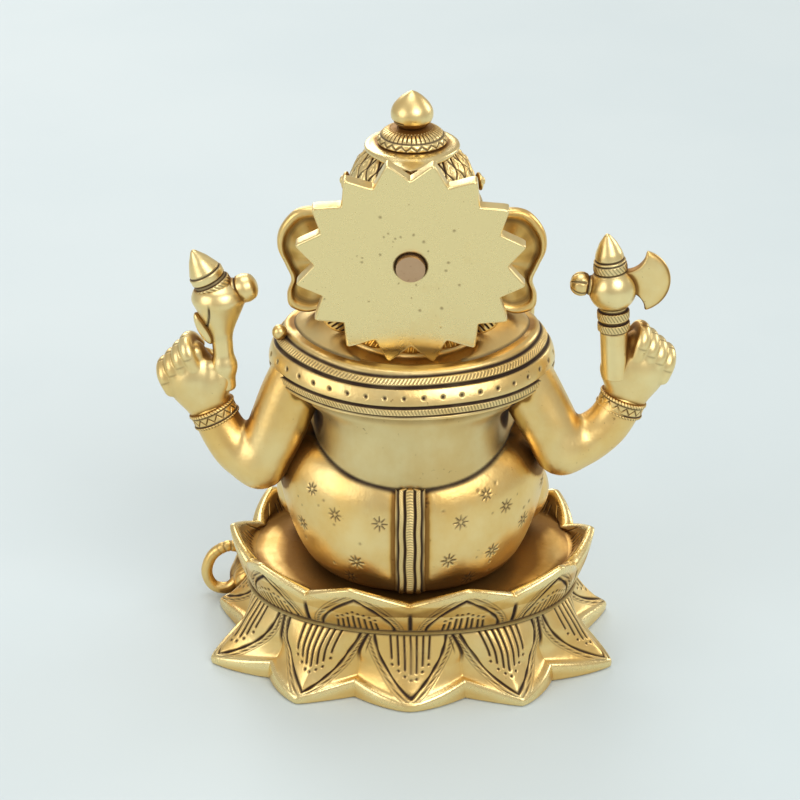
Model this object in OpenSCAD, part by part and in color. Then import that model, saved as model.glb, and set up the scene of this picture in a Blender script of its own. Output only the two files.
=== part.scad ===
// Seated elephant-headed deity on a double lotus, with a halo disc that turns on its pin.
// Millimetres. The statue faces -Y, +Z is up, and the origin is under the middle of the base.

/* [Lotus base] */
// reach of the lower petal tips to each side
lower_reach_x = 75; // [68:1:86]
// reach of the lower petal tips to front and back
lower_reach_y = 52; // [46:1:60]
// height of the seam between the two lotus tiers
seam_z = 26; // [22:1:28]
// half width of the waist between the tiers
seam_reach_x = 58; // [54:1:62]
// half depth of the waist between the tiers
seam_reach_y = 41; // [38:1:44]
// height of the seat that the figure rests on
deck_z = 38; // [36:1:39]
// height of the upper petal tips
upper_tip_z = 46; // [43:1:50]
// reach of the upper petal tips to each side
upper_reach_x = 65.5; // [62:0.5:70]
// reach of the upper petal tips to front and back
upper_reach_y = 48; // [45:0.5:51]
// wall thickness of the cored lower tier
base_wall = 5; // [4:0.5:7]

/* [Base bolt] */
// radius of the bolt shank
bolt_r = 3; // [2.5:0.1:3.5]
// radius of the bolt head
bolt_head_r = 5.5; // [5:0.1:7]
// thickness of the bolt head
bolt_head_h = 4; // [3:0.5:5]
// radius of the washer
washer_r = 9; // [8:0.5:12]
// thickness of the washer
washer_t = 1.5; // [1:0.1:2]
// height that the bolt reaches inside the figure
bolt_top_z = 52; // [46:1:58]

/* [Halo] */
// reach of the halo's points
halo_tip_r = 39.5; // [36:0.5:39.5]
// reach of the notches between the points
halo_notch_r = 32.5; // [28:0.5:34]
// number of points
halo_points = 16; // [10:1:20]
// thickness of the halo
halo_t = 5; // [4:0.5:5]
// lean of the halo, top towards the back
halo_lean = 8; // [6:1:9]
// height of the halo's pin
halo_z = 160; // [160:1:162]
// distance of the halo's pin behind the middle
halo_y = 24; // [24:0.5:26]
// radius of the pin
pin_r = 4; // [3:0.1:4.5]
// radius of the pin's riveted end
pin_head_r = 4.9; // [4.6:0.1:5.2]
// running clearance between pin and halo, on radius
pin_gap = 0.06; // [0.03:0.01:0.1]
// radius of the recess in the back of the halo
recess_r = 5.5; // [5.4:0.1:6.5]
// depth of the recess
recess_depth = 1.6; // [1:0.1:2]
// distance that the pin's end stands out of the halo
pin_proud = 2; // [1:0.1:3]
// radius of the spacer in front of the halo
spacer_r = 6.4; // [5.6:0.2:6.4]

/* [Crown] */
// centre line of the crown, front to back
crown_y = -2; // [-4:0.5:-1]
// height of the crown's lower edge
crown_z = 168; // [166:1:170]
// radius of the crown's band
crown_r = 24; // [23:0.5:24]
// height of the shoulder that carries the collar
crown_top_z = 192; // [190:1:194]
// radius of the collar
collar_r = 12; // [10:0.5:13]
// height of the finial above the collar
finial_h = 12.5; // [10:0.5:15]
// radius of the finial
finial_r = 7.2; // [6:0.2:8]

/* [Figure] */
// thickness of the shawl
shawl_t = 3; // [2:0.5:3.5]
// width of the pleat down the back
pleat_w = 10.5; // [8:0.5:13]
// thickness of the ears
ear_t = 4.5; // [3.5:0.5:5.5]
// radius of the bracelets
bracelet_r = 8.6; // [8:0.1:9.5]
// height of the bracelets
bracelet_h = 6; // [4:0.5:7]
// radius of the sweet
sweet_r = 6; // [5:0.5:7]
// thickness of the mouse's tail
tail_r = 2.1; // [1.6:0.1:2.6]

/* [Attributes] */
// radius of the goad's stem
goad_stem_r = 3.6; // [3:0.1:4.2]
// radius of the goad's flared head
goad_head_r = 10; // [8:0.5:11]
// radius of the axe's stem
axe_stem_r = 4.8; // [4:0.1:5.5]
// radius of the ball on the axe
axe_ball_r = 8.3; // [7:0.1:9]
// thickness of the axe's blade
axe_blade_t = 4; // [3:0.5:6]

/* [Hidden] */
$fn = 48;
petals = 10;
petal_steps = 8;
bore_r = pin_r + pin_gap;
halo_back = halo_t / 2;
sweep_gap = 0.6;
gold = [0.86, 0.68, 0.31];
pale = [0.9, 0.77, 0.43];
deep = [0.74, 0.55, 0.22];
steel = [0.72, 0.58, 0.36];

// ---- curves and lofts ----

function unit(v) = v / norm(v);
function within(list, i) = list[max(0, min(len(list) - 1, i))];

// a smooth curve through four neighbours, at t from the second to the third
function between(p, q, r, s, t) =
  0.5 * (2 * q + (r - p) * t + (2 * p - 5 * q + 4 * r - s) * t * t
         + (3 * q - p - 3 * r + s) * t * t * t);

// the list with k - 1 smooth values put in between each pair
function smooth(list, k) = concat(
  [for (i = [0:len(list) - 2]) for (j = [0:k - 1])
    between(within(list, i - 1), list[i], list[i + 1], within(list, i + 2), j / k)],
  [list[len(list) - 1]]
);

// skin over rings that run counter-clockwise seen from the far end
module loft(rings) {
  n = len(rings[0]);
  m = len(rings);
  skin = [for (i = [0:m - 2]) for (j = [0:n - 1])
    let (a = i * n + j, b = i * n + (j + 1) % n)
      each [[a, a + n, b + n], [a, b + n, b]]];
  near = [for (j = [0:n - 1]) j];
  far = [for (j = [n - 1:-1:0]) (m - 1) * n + j];
  polyhedron([for (r = rings) each r], concat([near], skin, [far]), convexity = 6);
}

// levels are [z, centre x, centre y, half width, half depth]
module stack(levels, k = 2, n = 28) {
  loft([for (l = smooth(levels, k))
    [for (j = [0:n - 1]) [l[1] + l[3] * cos(360 * j / n), l[2] + l[4] * sin(360 * j / n), l[0]]]]);
}

// way is [x, y, z, radius]; the ends are rounded
module limb(way, k = 2, n = 16, up = [0, 1, 0.02], flat = 1) {
  s = smooth(way, k);
  last = len(s) - 1;
  dir = [for (i = [0:last]) unit([for (c = [0:2]) within(s, i + 1)[c] - within(s, i - 1)[c]])];
  spots = concat(
    [for (e = [[0.85, 0.5], [0.5, 0.85]]) [s[0], dir[0], -e[0], e[1]]],
    [for (i = [0:last]) [s[i], dir[i], 0, 1]],
    [for (e = [[0.5, 0.85], [0.85, 0.5]]) [s[last], dir[last], e[0], e[1]]]
  );
  loft([for (q = spots)
    let (
      d = q[1],
      r = q[0][3],
      c = [q[0][0], q[0][1], q[0][2]] + d * r * q[2],
      u = unit(cross(up, d)),
      v = cross(d, u)
    ) [for (j = [0:n - 1]) c + r * q[3] * (u * cos(360 * j / n) + v * flat * sin(360 * j / n))]]);
}

// a cast form is one mesh, whatever it is joined and cut from
module as_cast() {
  resize([0, 0, 0]) union() children();
}

module at_halo() {
  translate([0, halo_y, halo_z]) rotate([-90 - halo_lean, 0, 0]) children();
}

// ---- lotus ----

function bow(a, power) = sign(a) * pow(abs(a), power);
function oval(turn, rx, ry, power) = [rx * bow(sin(turn), power), ry * bow(cos(turn), power)];

// the bearing of the lower petals: the corner ones are broader than the ones between
function lower_turn(p) =
  p < 0 ? -lower_turn(-p)
  : p > petals / 2 ? 360 - lower_turn(petals - p)
  : lookup(p, [[0, 0], [1, 27], [2, 72], [3, 108], [4, 153], [5, 180]]);
function upper_turn(p) = 360 * (p + 0.5) / petals;

// 1 at a petal's tip and 0 in the notch beside it
function point_up(p) = 1 - 2 * abs(p - round(p));

module lower_tier() {
  n = petals * petal_steps;
  rx = lower_reach_x;
  ry = lower_reach_y;
  in_x = rx - base_wall - 4;
  in_y = ry - base_wall - 3;
  rows = [
    ["waist", 0.88, seam_z - 4],
    ["petal", in_x, in_y, 0.8, 0, 0],
    ["petal", rx - 1.2, ry - 1.2, 0.83, 0, 0],
    ["petal", rx, ry, 0.835, 1.4, 2.4],
    ["petal", rx - 0.4, ry - 0.4, 0.83, 3.2, 7],
    ["petal", rx - 3.5, ry - 2.8, 0.82, 5.4, 8.6],
    ["petal", rx - 9, ry - 6, 0.86, 11.5, 13],
    ["petal", rx - 13.5, ry - 8.6, 0.93, 18.5, 18],
    ["waist", 1, seam_z - 0.6],
    ["waist", 0.99, seam_z]
  ];
  loft([for (row = rows) [for (j = [n - 1:-1:0])
    let (p = j / petal_steps, turn = lower_turn(p), sharp = pow(point_up(p), 1.1))
      row[0] == "waist"
        ? concat(oval(turn, seam_reach_x * row[1], seam_reach_y * row[1], 0.95), [row[2]])
        : concat(
            oval(turn, row[1], row[2], 0.8) * (row[3] + (1 - row[3]) * sharp),
            [row[5] + (row[4] - row[5]) * sharp]
          )]]);
}

module upper_tier() {
  n = petals * petal_steps;
  rx = upper_reach_x;
  ry = upper_reach_y;
  tip = upper_tip_z;
  notch = deck_z + 1.6;
  rows = [
    ["waist", 0.985, seam_z],
    ["waist", 1.015, seam_z + 1.2],
    ["petal", rx - 2.5, ry - 2, 0.97, seam_z + 9, seam_z + 7],
    ["petal", rx, ry, 0.94, tip - 1.8, notch - 1.6],
    ["petal", rx - 0.6, ry - 0.6, 0.93, tip, notch],
    ["petal", rx - 2.4, ry - 2.2, 0.92, tip - 0.3, notch + 0.2],
    ["petal", rx - 5, ry - 4.8, 0.93, tip - 4, notch - 0.6],
    ["waist", 0.97, deck_z],
    ["waist", 0.5, deck_z]
  ];
  loft([for (row = rows) [for (j = [n - 1:-1:0])
    let (p = j / petal_steps, turn = upper_turn(p), sharp = pow(point_up(p), 0.9))
      row[0] == "waist"
        ? concat(oval(turn, seam_reach_x * row[1], seam_reach_y * row[1], 0.95), [row[2]])
        : concat(
            oval(turn, row[1], row[2], 0.97) * (row[3] + (1 - row[3]) * sharp),
            [row[5] + (row[4] - row[5]) * sharp]
          )]]);
}

module bolt_bore() {
  translate([0, 0, seam_z - 12]) cylinder(r = bolt_r, h = bolt_top_z - seam_z + 12);
}

module lower_lotus() color(gold) difference() {
  as_cast() lower_tier();
  bolt_bore();
}

module upper_lotus() color(gold) difference() {
  as_cast() upper_tier();
  bolt_bore();
}

module base_washer() color(steel)
  translate([0, 0, seam_z - 4 - washer_t]) difference() {
    cylinder(r = washer_r, h = washer_t);
    translate([0, 0, -1]) cylinder(r = bolt_r, h = washer_t + 2);
  }

module base_bolt() color(steel) {
  under = seam_z - 4 - washer_t;
  translate([0, 0, under]) cylinder(r = bolt_r, h = bolt_top_z - under);
  difference() {
    translate([0, 0, under - bolt_head_h]) cylinder(r = bolt_head_r, h = bolt_head_h);
    translate([-1, -bolt_head_r, under - bolt_head_h - 1]) cube([2, 2 * bolt_head_r, 2.2]);
  }
}

// ---- body ----

hip_levels = [
  [deck_z - 0.1, 0, 4, 29, 27],
  [deck_z + 2.5, 0, 4, 35.5, 32.5],
  [46, 0, 3.5, 40, 36],
  [56, 0, 3, 44, 37.5],
  [66, 0, 2, 46.5, 37.5],
  [75, 0, 2, 47, 35.5],
  [82, 0, 1, 44.5, 32.5],
  [87, 0, 0, 40, 28]
];

torso_levels = [
  [68, 0, 3, 30, 24],
  [73, 0, 3, 35, 29],
  [80, 0, 3, 36, 32],
  [88, 0, 2.5, 34, 34],
  [97, 0, 2, 33.5, 34.5],
  [102, 0, 2, 36, 34.5],
  [106, 0, 2, 42, 34.5],
  [111, 0, 2, 46, 34],
  [117, 0, 2, 46.5, 32],
  [123, 0, 1, 44, 28],
  [129, 0, -2, 38, 22],
  [133, 0, -4, 29, 15],
  [134.5, 0, -5, 20, 9]
];

head_levels = [
  [124, 0, -3, 15, 11],
  [128, 0, -5, 20.5, 16],
  [134, 0, -6.5, 24.5, 20.5],
  [142, 0, -7.5, 27, 23.5],
  [151, 0, -7.5, 27.5, 24.8],
  [160, 0, -6, 26.5, 24.5],
  [168, 0, -3, 23.5, 22.2]
];

function half_width(levels, z) = lookup(z, [for (l = levels) [l[0], l[3]]]);
function half_depth(levels, z) = lookup(z, [for (l = levels) [l[0], l[4]]]);
function mid_y(levels, z) = lookup(z, [for (l = levels) [l[0], l[2]]]);

module hips_form() {
  stack(hip_levels);
}

module belly_form() {
  translate([0, -12, 86]) scale([37.5, 34, 27]) sphere(r = 1, $fn = 28);
}

module torso_form() {
  stack(torso_levels, n = 32);
  belly_form();
}

module head_form() {
  stack(head_levels);
  for (side = [-1, 1]) translate([side * 11, -19, 156]) scale([12, 11, 12]) sphere(r = 1, $fn = 16);
}

module halo_sweep() {
  at_halo() translate([0, 0, -halo_back - sweep_gap])
    cylinder(r = halo_tip_r + sweep_gap, h = halo_t + 2 * sweep_gap + 20, $fn = 64);
}

module hair_form(more = 0) {
  at_halo() translate([0, 0, -halo_back - 3.2]) linear_extrude(2.6 + more) difference() {
    union() {
      for (turn = [-28, -14, 0, 14, 28])
        rotate(90 + turn) translate([31, 0]) circle(r = 7.2);
      circle(r = 30);
    }
    translate([0, -64]) square([200, 160], center = true);
  }
}

module lower_body() color(gold) difference() {
  as_cast() difference() {
    intersection() {
      hips_form();
      translate([-100, -100, deck_z]) cube(200);
    }
    torso_form();
  }
  bolt_bore();
}

module back_pleat() color(pale) as_cast() difference() {
  loft([for (z = [41:3:80])
    let (back = mid_y(hip_levels, z) + half_depth(hip_levels, z), w = pleat_w / 2)
      [[-w, back - 3, z], [w, back - 3, z], [w, back + 1.7, z], [-w, back + 1.7, z]]]);
  hips_form();
  torso_form();
}

module leg_form(side) {
  limb([[side * 24, -2, 54, 15], [side * 30, -10, 54, 14.6], [side * 36, -17, 53, 13.6]], k = 1);
  limb([
    [side * 35.2, -17.6, 52.3, 12.2],
    [side * 31, -26, 50, 10.6],
    [side * 19, -31, 48.5 - side, 9],
    [side * 4, -32.5, 47 - 2 * side, 7],
    [-side * 7, -32.5, 45 - side, 6.2]
  ], k = 1, n = 18);
}

module foot_form(side) {
  limb([[-side * 9, -32, 45 - side, 5.6], [-side * 16, -32, 44 - side, 5], [-side * 23, -30.5, 43, 4]], n = 14);
}

module left_leg() color(gold) as_cast() difference() {
  intersection() {
    union() {
      leg_form(1);
      foot_form(1);
    }
    translate([-100, -100, deck_z]) cube(200);
  }
  hips_form();
  torso_form();
}

module right_leg() color(gold) as_cast() difference() {
  intersection() {
    union() {
      leg_form(-1);
      foot_form(-1);
    }
    translate([-100, -100, deck_z]) cube(200);
  }
  hips_form();
  torso_form();
  leg_form(1);
  foot_form(1);
}

module torso() color(pale) as_cast() difference() {
  torso_form();
  halo_sweep();
  hair_form(1);
}

module shawl_form() {
  reach = 122;
  loft([for (turn = [-reach:8:reach])
    let (
      lift = pow(sin(min(90, abs(turn))), 2),
      low = 106.5 + 3 * lift,
      high = 120.5 + 8 * lift
    ) concat(
      [for (s = [1:-0.25:0]) shawl_point(turn, low + (high - low) * s, shawl_t)],
      [for (s = [0:0.25:1]) shawl_point(turn, low + (high - low) * s, -1.5)]
    )]);
}

function shawl_point(turn, z, out) = [
  -(half_width(torso_levels, z) + out) * sin(turn),
  mid_y(torso_levels, z) + (half_depth(torso_levels, z) + out) * cos(turn),
  z
];

module shawl() color(pale) as_cast() difference() {
  shawl_form();
  torso_form();
  halo_sweep();
}

// ---- head ----

module head() color(gold) difference() {
  as_cast() difference() {
    head_form();
    torso_form();
    hair_form();
    translate([-50, -60, crown_z]) cube([100, 100, 30]);
  }
  spacer_form();
  pin_shank(4);
}

trunk_way = [
  [0, -27, 150, 12],
  [0, -33, 138, 10.8],
  [2, -39, 124, 9.2],
  [8, -43.5, 111, 7.6],
  [17, -45, 103.5, 6.2],
  [24.5, -44, 105, 5.1],
  [29, -42.5, 109.5, 4.2]
];

module trunk_form() {
  limb(trunk_way, up = [1, 0.03, 0]);
}

module trunk() color(gold) as_cast() difference() {
  trunk_form();
  head_form();
  torso_form();
}

module tusk_form(side, length) {
  limb([
    [side * 12, -25, 137, 4],
    [side * 14.5, -33, 131.5, 3.6],
    [side * 16, -33 - 7 * length, 131.5 - 4 * length, 3.6 - 1.6 * length]
  ], n = 14);
}

module left_tusk() color(pale) as_cast() difference() {
  tusk_form(1, 0.25);
  head_form();
  trunk_form();
}

module right_tusk() color(pale) as_cast() difference() {
  tusk_form(-1, 1);
  head_form();
  trunk_form();
}

ear_outline = [
  [20, 161.5], [25.5, 166.5], [32, 170.5], [39.5, 169.5], [45, 163], [46, 156], [43.5, 149.5],
  [41.5, 144], [43, 138.5], [42, 133.5], [36, 131.5], [30, 134], [25, 140], [21, 150]
];

module ear_form(side) {
  points = smooth(concat(ear_outline, [ear_outline[0]]), 3);
  translate([0, 1.5, 0]) rotate([90, 0, 0])
    translate([0, 0, -ear_t / 2]) linear_extrude(ear_t)
      polygon([for (q = points) [side * q[0], q[1]]]);
}

module ear(side) color(gold) as_cast() difference() {
  ear_form(side);
  head_form();
  torso_form();
  shawl_form();
}

module left_ear() ear(1);
module right_ear() ear(-1);

module nape_hair() color(deep) hair_form();

// ---- crown ----

module crown() color(gold) translate([0, crown_y, 0]) {
  rotate_extrude() polygon([
    [0, crown_z], [crown_r - 0.8, crown_z], [crown_r, crown_z + 1], [crown_r, crown_z + 4],
    [crown_r - 1.4, crown_z + 5], [crown_r - 1.7, crown_z + 8], [crown_r - 3, crown_z + 13],
    [crown_r - 5, crown_z + 18], [crown_r - 8.5, crown_top_z - 2.6],
    [collar_r + 2.4, crown_top_z - 1.6], [collar_r + 2.6, crown_top_z], [0, crown_top_z]
  ]);
}

module crown_collar() color(gold) translate([0, crown_y, 0])
  rotate_extrude() polygon([
    [0, crown_top_z], [collar_r - 1.4, crown_top_z], [collar_r, crown_top_z + 1.8],
    [collar_r - 0.6, crown_top_z + 3.6], [collar_r - 2.4, crown_top_z + 5.4],
    [finial_r - 1.8, crown_top_z + 7], [0, crown_top_z + 7]
  ]);

module crown_finial() color(pale) translate([0, crown_y, crown_top_z + 7]) {
  h = finial_h;
  r = finial_r;
  rotate_extrude() polygon(concat(
    [[0, 0]],
    [for (q = smooth([
      [r * 0.62, 0], [r * 0.92, h * 0.16], [r, h * 0.36], [r * 0.9, h * 0.56],
      [r * 0.62, h * 0.76], [r * 0.28, h * 0.92], [0, h]
    ], 2)) [max(0, q[0]), q[1]]]
  ));
}

// ---- halo ----

module halo_disc() color(pale) at_halo() difference() {
  translate([0, 0, -halo_back]) linear_extrude(halo_t)
    polygon([for (i = [0:2 * halo_points - 1])
      let (r = i % 2 == 0 ? halo_notch_r : halo_tip_r, a = 90 + 180 * i / halo_points)
        [r * cos(a), r * sin(a)]]);
  translate([0, 0, -halo_back - 1]) cylinder(r = bore_r, h = halo_t + 2);
  translate([0, 0, halo_back - recess_depth]) cylinder(r = recess_r, h = recess_depth + 1);
}

// the rivet's head lies a hair above the floor of the recess, so that the disc can turn
module halo_pin() color(steel) at_halo() {
  head_z = halo_back - recess_depth + 0.3;
  translate([0, 0, -halo_back - 16]) cylinder(r = pin_r, h = halo_back + 16 + head_z + 0.1);
  translate([0, 0, head_z]) cylinder(r = pin_head_r, h = halo_back + pin_proud - head_z);
}

module spacer_form() {
  at_halo() translate([0, 0, -halo_back - 8]) cylinder(r = spacer_r, h = 7.7);
}

module pin_shank(back) {
  at_halo() translate([0, 0, -halo_back - 16]) cylinder(r = pin_r, h = 16 + halo_back + back);
}

module halo_spacer() color(gold) difference() {
  spacer_form();
  pin_shank(4);
}

// ---- rear arms ----

left_wrist = [69, 8, 95.4];
left_reach = unit([0.42, -0.1, 0.91]);
right_wrist = [-73, 7, 100];
right_reach = unit([-0.34, -0.08, 0.93]);

module along(spot, dir) {
  yaw = atan2(dir[1], dir[0]);
  pitch = acos(dir[2]);
  translate(spot) rotate([0, pitch, yaw]) children();
}

module bracelet(spot, dir, r, h) {
  along(spot, dir) translate([0, 0, -h / 2]) rotate_extrude() polygon([
    [0, 0], [r - 0.6, 0], [r, 0.5], [r, h * 0.2], [r - 0.5, h * 0.3], [r - 0.5, h * 0.7],
    [r, h * 0.8], [r, h - 0.5], [r - 0.6, h], [0, h]
  ]);
}

// the arm ends flat on the bracelet's face
module beyond(spot, dir, h) {
  along(spot, dir) translate([-60, -60, -h / 2]) cube([120, 120, 120]);
}

module before(spot, dir, h) {
  along(spot, dir) translate([-60, -60, h / 2 - 120]) cube([120, 120, 120]);
}

module rear_arm_left() color(gold) as_cast() difference() {
  union() {
    limb([[38, 9, 112, 10.6], [42.5, 10, 103, 10.4], [48.5, 12, 88, 10], [53, 13, 78, 9.4]], up = [0.02, 1, 0.02]);
    limb([[52.4, 12.8, 78.5, 8.9], [60, 11.5, 82, 8.5], [65.5, 9.5, 88.5, 8], left_wrist_end(7.8)], up = [0.02, 1, 0.02]);
  }
  torso_form();
  shawl_form();
  beyond(left_wrist, left_reach, bracelet_h);
  hips_form();
}

function left_wrist_end(r) = [left_wrist[0], left_wrist[1], left_wrist[2], r];
function right_wrist_end(r) = [right_wrist[0], right_wrist[1], right_wrist[2], r];

module rear_arm_right() color(gold) as_cast() difference() {
  union() {
    limb([[-38, 9, 112, 10.6], [-42.5, 10, 104, 10.4], [-48, 12, 94, 10], [-52.5, 13, 85, 9.4]], up = [0.02, 1, 0.02]);
    limb([[-52.5, 13, 85, 9.2], [-60, 11, 87, 8.6], [-68, 9, 92.5, 8], right_wrist_end(7.8)], up = [0.02, 1, 0.02]);
  }
  torso_form();
  shawl_form();
  beyond(right_wrist, right_reach, bracelet_h);
  hips_form();
}

module rear_bracelet_left() color(pale) bracelet(left_wrist, left_reach, bracelet_r, bracelet_h);
module rear_bracelet_right() color(pale) bracelet(right_wrist, right_reach, bracelet_r, bracelet_h);

function flipped(v) = [-v[0], v[1], v[2]];

// a closed left hand with its back to +Y, fingers curled over to the front
module fist_form(spot, dir) {
  along(spot, dir) {
    stack([
      [0, 0, 0, 7.2, 6.6],
      [4, 0.4, 0, 8, 6.8],
      [10, 1.2, 0, 9.6, 7.3],
      [15.5, 1.6, 0, 10.2, 7.6],
      [20, 0.6, -0.5, 8.8, 6.8],
      [23, -0.6, -1, 6, 5]
    ], k = 1, n = 24);
    // the palm's pad, filling the curl of the fingers
    limb([[7.6, 0.2, 17.4, 5], [2, 0.2, 20.4, 5.6], [-3.4, 0.2, 23, 4.6]], k = 1, n = 14, up = [0, 1, 0.01]);
    for (i = [0:3])
      limb([
        [8.9 - 4 * i, 3.8, 15 + 1.8 * i, 2.8],
        [8.7 - 4 * i, 3.2, 20 + 1.8 * i, 2.7],
        [8.7 - 4 * i, -2.5, 22.2 + 1.8 * i, 2.6],
        [8.7 - 4 * i, -6.6, 18 + 1.8 * i, 2.5]
      ], k = 1, n = 10, up = [1, 0.01, 0]);
    limb([[-5.5, -4, 8, 3.2], [-6, -7.5, 14, 3], [-2, -9.4, 18.5, 2.7]], k = 1, n = 10, up = [1, 0.01, 0]);
  }
}

goad_foot = [64.5, 9, 106];
goad_head = [66, 8, 140];
axe_foot = [-70.5, 9, 112];
axe_head = [-68.5, 8, 144];

module goad_stem() {
  along(goad_foot, unit(goad_head - goad_foot)) cylinder(r = goad_stem_r, h = 20);
}

module axe_stem() {
  along(axe_foot, unit(axe_head - axe_foot)) cylinder(r = axe_stem_r, h = 26);
}

module rear_hand_left() color(pale) difference() {
  as_cast() difference() {
    fist_form(left_wrist, left_reach);
    before(left_wrist, left_reach, bracelet_h);
  }
  goad_stem();
}

module rear_hand_right() color(pale) difference() {
  as_cast() difference() {
    mirror([1, 0, 0]) fist_form(flipped(right_wrist), flipped(right_reach));
    before(right_wrist, right_reach, bracelet_h);
  }
  axe_stem();
}

// the goad: stem, flared head, pointed cap leaning outwards and a small knob inwards
module goad() color(pale) {
  dir = unit(goad_head - goad_foot);
  goad_stem();
  along(goad_foot + dir * 19.8, dir) rotate_extrude() polygon([
    [0, 0], [goad_stem_r, 0], [goad_stem_r + 1.6, 4], [goad_head_r - 2, 10],
    [goad_head_r, 14], [goad_head_r - 1.5, 17.5], [goad_head_r - 5, 20], [0, 21]
  ]);
  along(goad_head, unit([0.5, 0, 1])) rotate_extrude() polygon([
    [0, 0], [6.6, 0], [6.6, 6], [6.1, 6.6], [6.1, 10], [5.6, 10.6], [3.4, 15], [0, 19.5]
  ]);
  along(goad_head, unit([-1, 0, 0.35])) rotate_extrude() polygon([
    [0, 0], [4.2, 0], [5, 9], [4.2, 12.5], [2, 14], [0, 14]
  ]);
}

// the axe: ringed stem, ball, pointed cap, crescent blade outwards and a small knob inwards
module axe() color(pale) {
  axe_stem();
  dir = unit(axe_head - axe_foot);
  for (up = [17, 21.5]) along(axe_foot + dir * up, dir) cylinder(r = axe_stem_r + 0.8, h = 2.6);
  translate(axe_head) sphere(r = axe_ball_r);
  along(axe_head, unit([0.12, 0, 1])) rotate_extrude() polygon([
    [0, 0], [5.6, 0], [5.6, 10], [5.2, 11], [3.2, 16], [0, 20.5]
  ]);
  along(axe_head, unit([1, 0, 0.15])) rotate_extrude() polygon([
    [0, 0], [3.4, 0], [3.4, 10], [3.9, 12], [2.6, 14.4], [0, 14.8]
  ]);
  translate([axe_head[0], axe_head[1] + axe_blade_t / 2, axe_head[2] + 3]) rotate([90, 0, 0])
    linear_extrude(axe_blade_t) difference() {
      intersection() {
        translate([-8.2, 0]) circle(r = 12.3);
        translate([-22, -11]) square([22, 22]);
      }
      translate([-4.5, 10.5]) circle(r = 6.6);
      translate([-4.5, -10.5]) circle(r = 6.6);
    }
}

// ---- front arms ----

front_left_wrist = [40, -30, 87];
front_left_reach = unit([-0.5, -0.86, 0.05]);
front_right_wrist = [-37.5, -33.5, 95];
front_right_reach = unit([0.05, -0.3, 1]);

module front_arm_left() color(gold) as_cast() difference() {
  union() {
    limb([[35, -8, 111, 9.5], [39, -12, 103, 9.2], [43, -16, 90, 8.6]], up = [1, 0.02, 0.02]);
    limb([[43, -16, 89, 8.4], [42.5, -23, 87.5, 7.6], concat(front_left_wrist, [6.9])], up = [1, 0.02, 0.02]);
  }
  torso_form();
  shawl_form();
  hips_form();
  beyond(front_left_wrist, front_left_reach, bracelet_h - 1);
}

module front_arm_right() color(gold) as_cast() difference() {
  union() {
    limb([[-35, -8, 111, 9.5], [-39, -12, 103, 9.2], [-42, -19, 89, 8.6]], up = [1, 0.02, 0.02]);
    limb([[-42, -19, 88, 8.4], [-39.5, -28, 88, 7.6], concat(front_right_wrist, [6.9])], up = [1, 0.02, 0.02]);
  }
  torso_form();
  shawl_form();
  hips_form();
  beyond(front_right_wrist, front_right_reach, bracelet_h - 1);
}

module front_bracelet_left() color(pale)
  bracelet(front_left_wrist, front_left_reach, bracelet_r - 1, bracelet_h - 1);
module front_bracelet_right() color(pale)
  bracelet(front_right_wrist, front_right_reach, bracelet_r - 1, bracelet_h - 1);

module sweet_form() {
  translate([30, -42, 91.5 + sweet_r * 0.7]) rotate_extrude() polygon([
    [0, -sweet_r * 0.7], [sweet_r * 0.8, -sweet_r * 0.7], [sweet_r, -sweet_r * 0.25],
    [sweet_r * 0.9, sweet_r * 0.3], [sweet_r * 0.45, sweet_r * 0.75], [0, sweet_r]
  ]);
}

module front_hand_left() color(pale) as_cast() difference() {
  union() {
    limb([
      [40, -30, 87, 6.2],
      [36, -37, 87.5, 6.6],
      [32.5, -42.5, 87.5, 6.6],
      [29.5, -45.5, 88, 4.4]
    ], up = [1, 0.02, 0.02], flat = 0.8);
    for (i = [0:3])
      limb([
        [26 + 3 * i, -42.5 - 0.8 * i, 88, 2.3],
        [24 + 3.4 * i, -46.6 - 0.9 * i, 90.5, 2.1],
        [24.4 + 3.4 * i, -47.6 - 0.8 * i, 94, 1.9]
      ], k = 1, n = 10, up = [1, 0.02, 0.02]);
    limb([[38.5, -38.5, 90, 2.4], [38.4, -41, 93.5, 2.1], [37.4, -42.5, 96.5, 1.8]], k = 1, n = 10, up = [1, 0, 0.1]);
  }
  before(front_left_wrist, front_left_reach, bracelet_h - 1);
  torso_form();
  sweet_form();
}

module sweet() color(pale) sweet_form();

module front_hand_right() color(pale) as_cast() difference() {
  union() {
    limb([
      [-37.5, -33.5, 95, 6.2],
      [-36.6, -35.5, 102, 7.6],
      [-35.8, -37, 108.5, 8],
      [-35.6, -37.5, 112.5, 6.6]
    ], up = [0.02, 1, 0.02], flat = 0.55);
    for (i = [0:3])
      limb([
        [-41.2 + 3.9 * i, -37, 110, 2.3],
        [-41.4 + 4 * i, -38.2, 117 + (i == 1 || i == 2 ? 2 : 0), 2.2],
        [-41.5 + 4.05 * i, -38.8, 122 + (i == 1 || i == 2 ? 3 : 0), 1.9]
      ], k = 1, n = 10);
    limb([[-29.8, -35.5, 103, 2.7], [-26.6, -37, 108, 2.4], [-26, -38, 112.5, 2]], k = 1, n = 10);
  }
  before(front_right_wrist, front_right_reach, bracelet_h - 1);
  torso_form();
  ear_form(-1);
}

// ---- mouse ----

module mouse_form() {
  limb([
    [61, -29, 7.6, 6.4],
    [59.5, -34, 9, 8.6],
    [58, -40, 8.6, 7.6],
    [57, -45, 8.8, 5],
    [56.5, -48, 8.4, 3]
  ], up = [1, 0.02, 0.02]);
  for (side = [-1, 1]) translate([58 + side * 4.6, -42.5, 15]) sphere(r = 2.8, $fn = 14);
}

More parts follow.
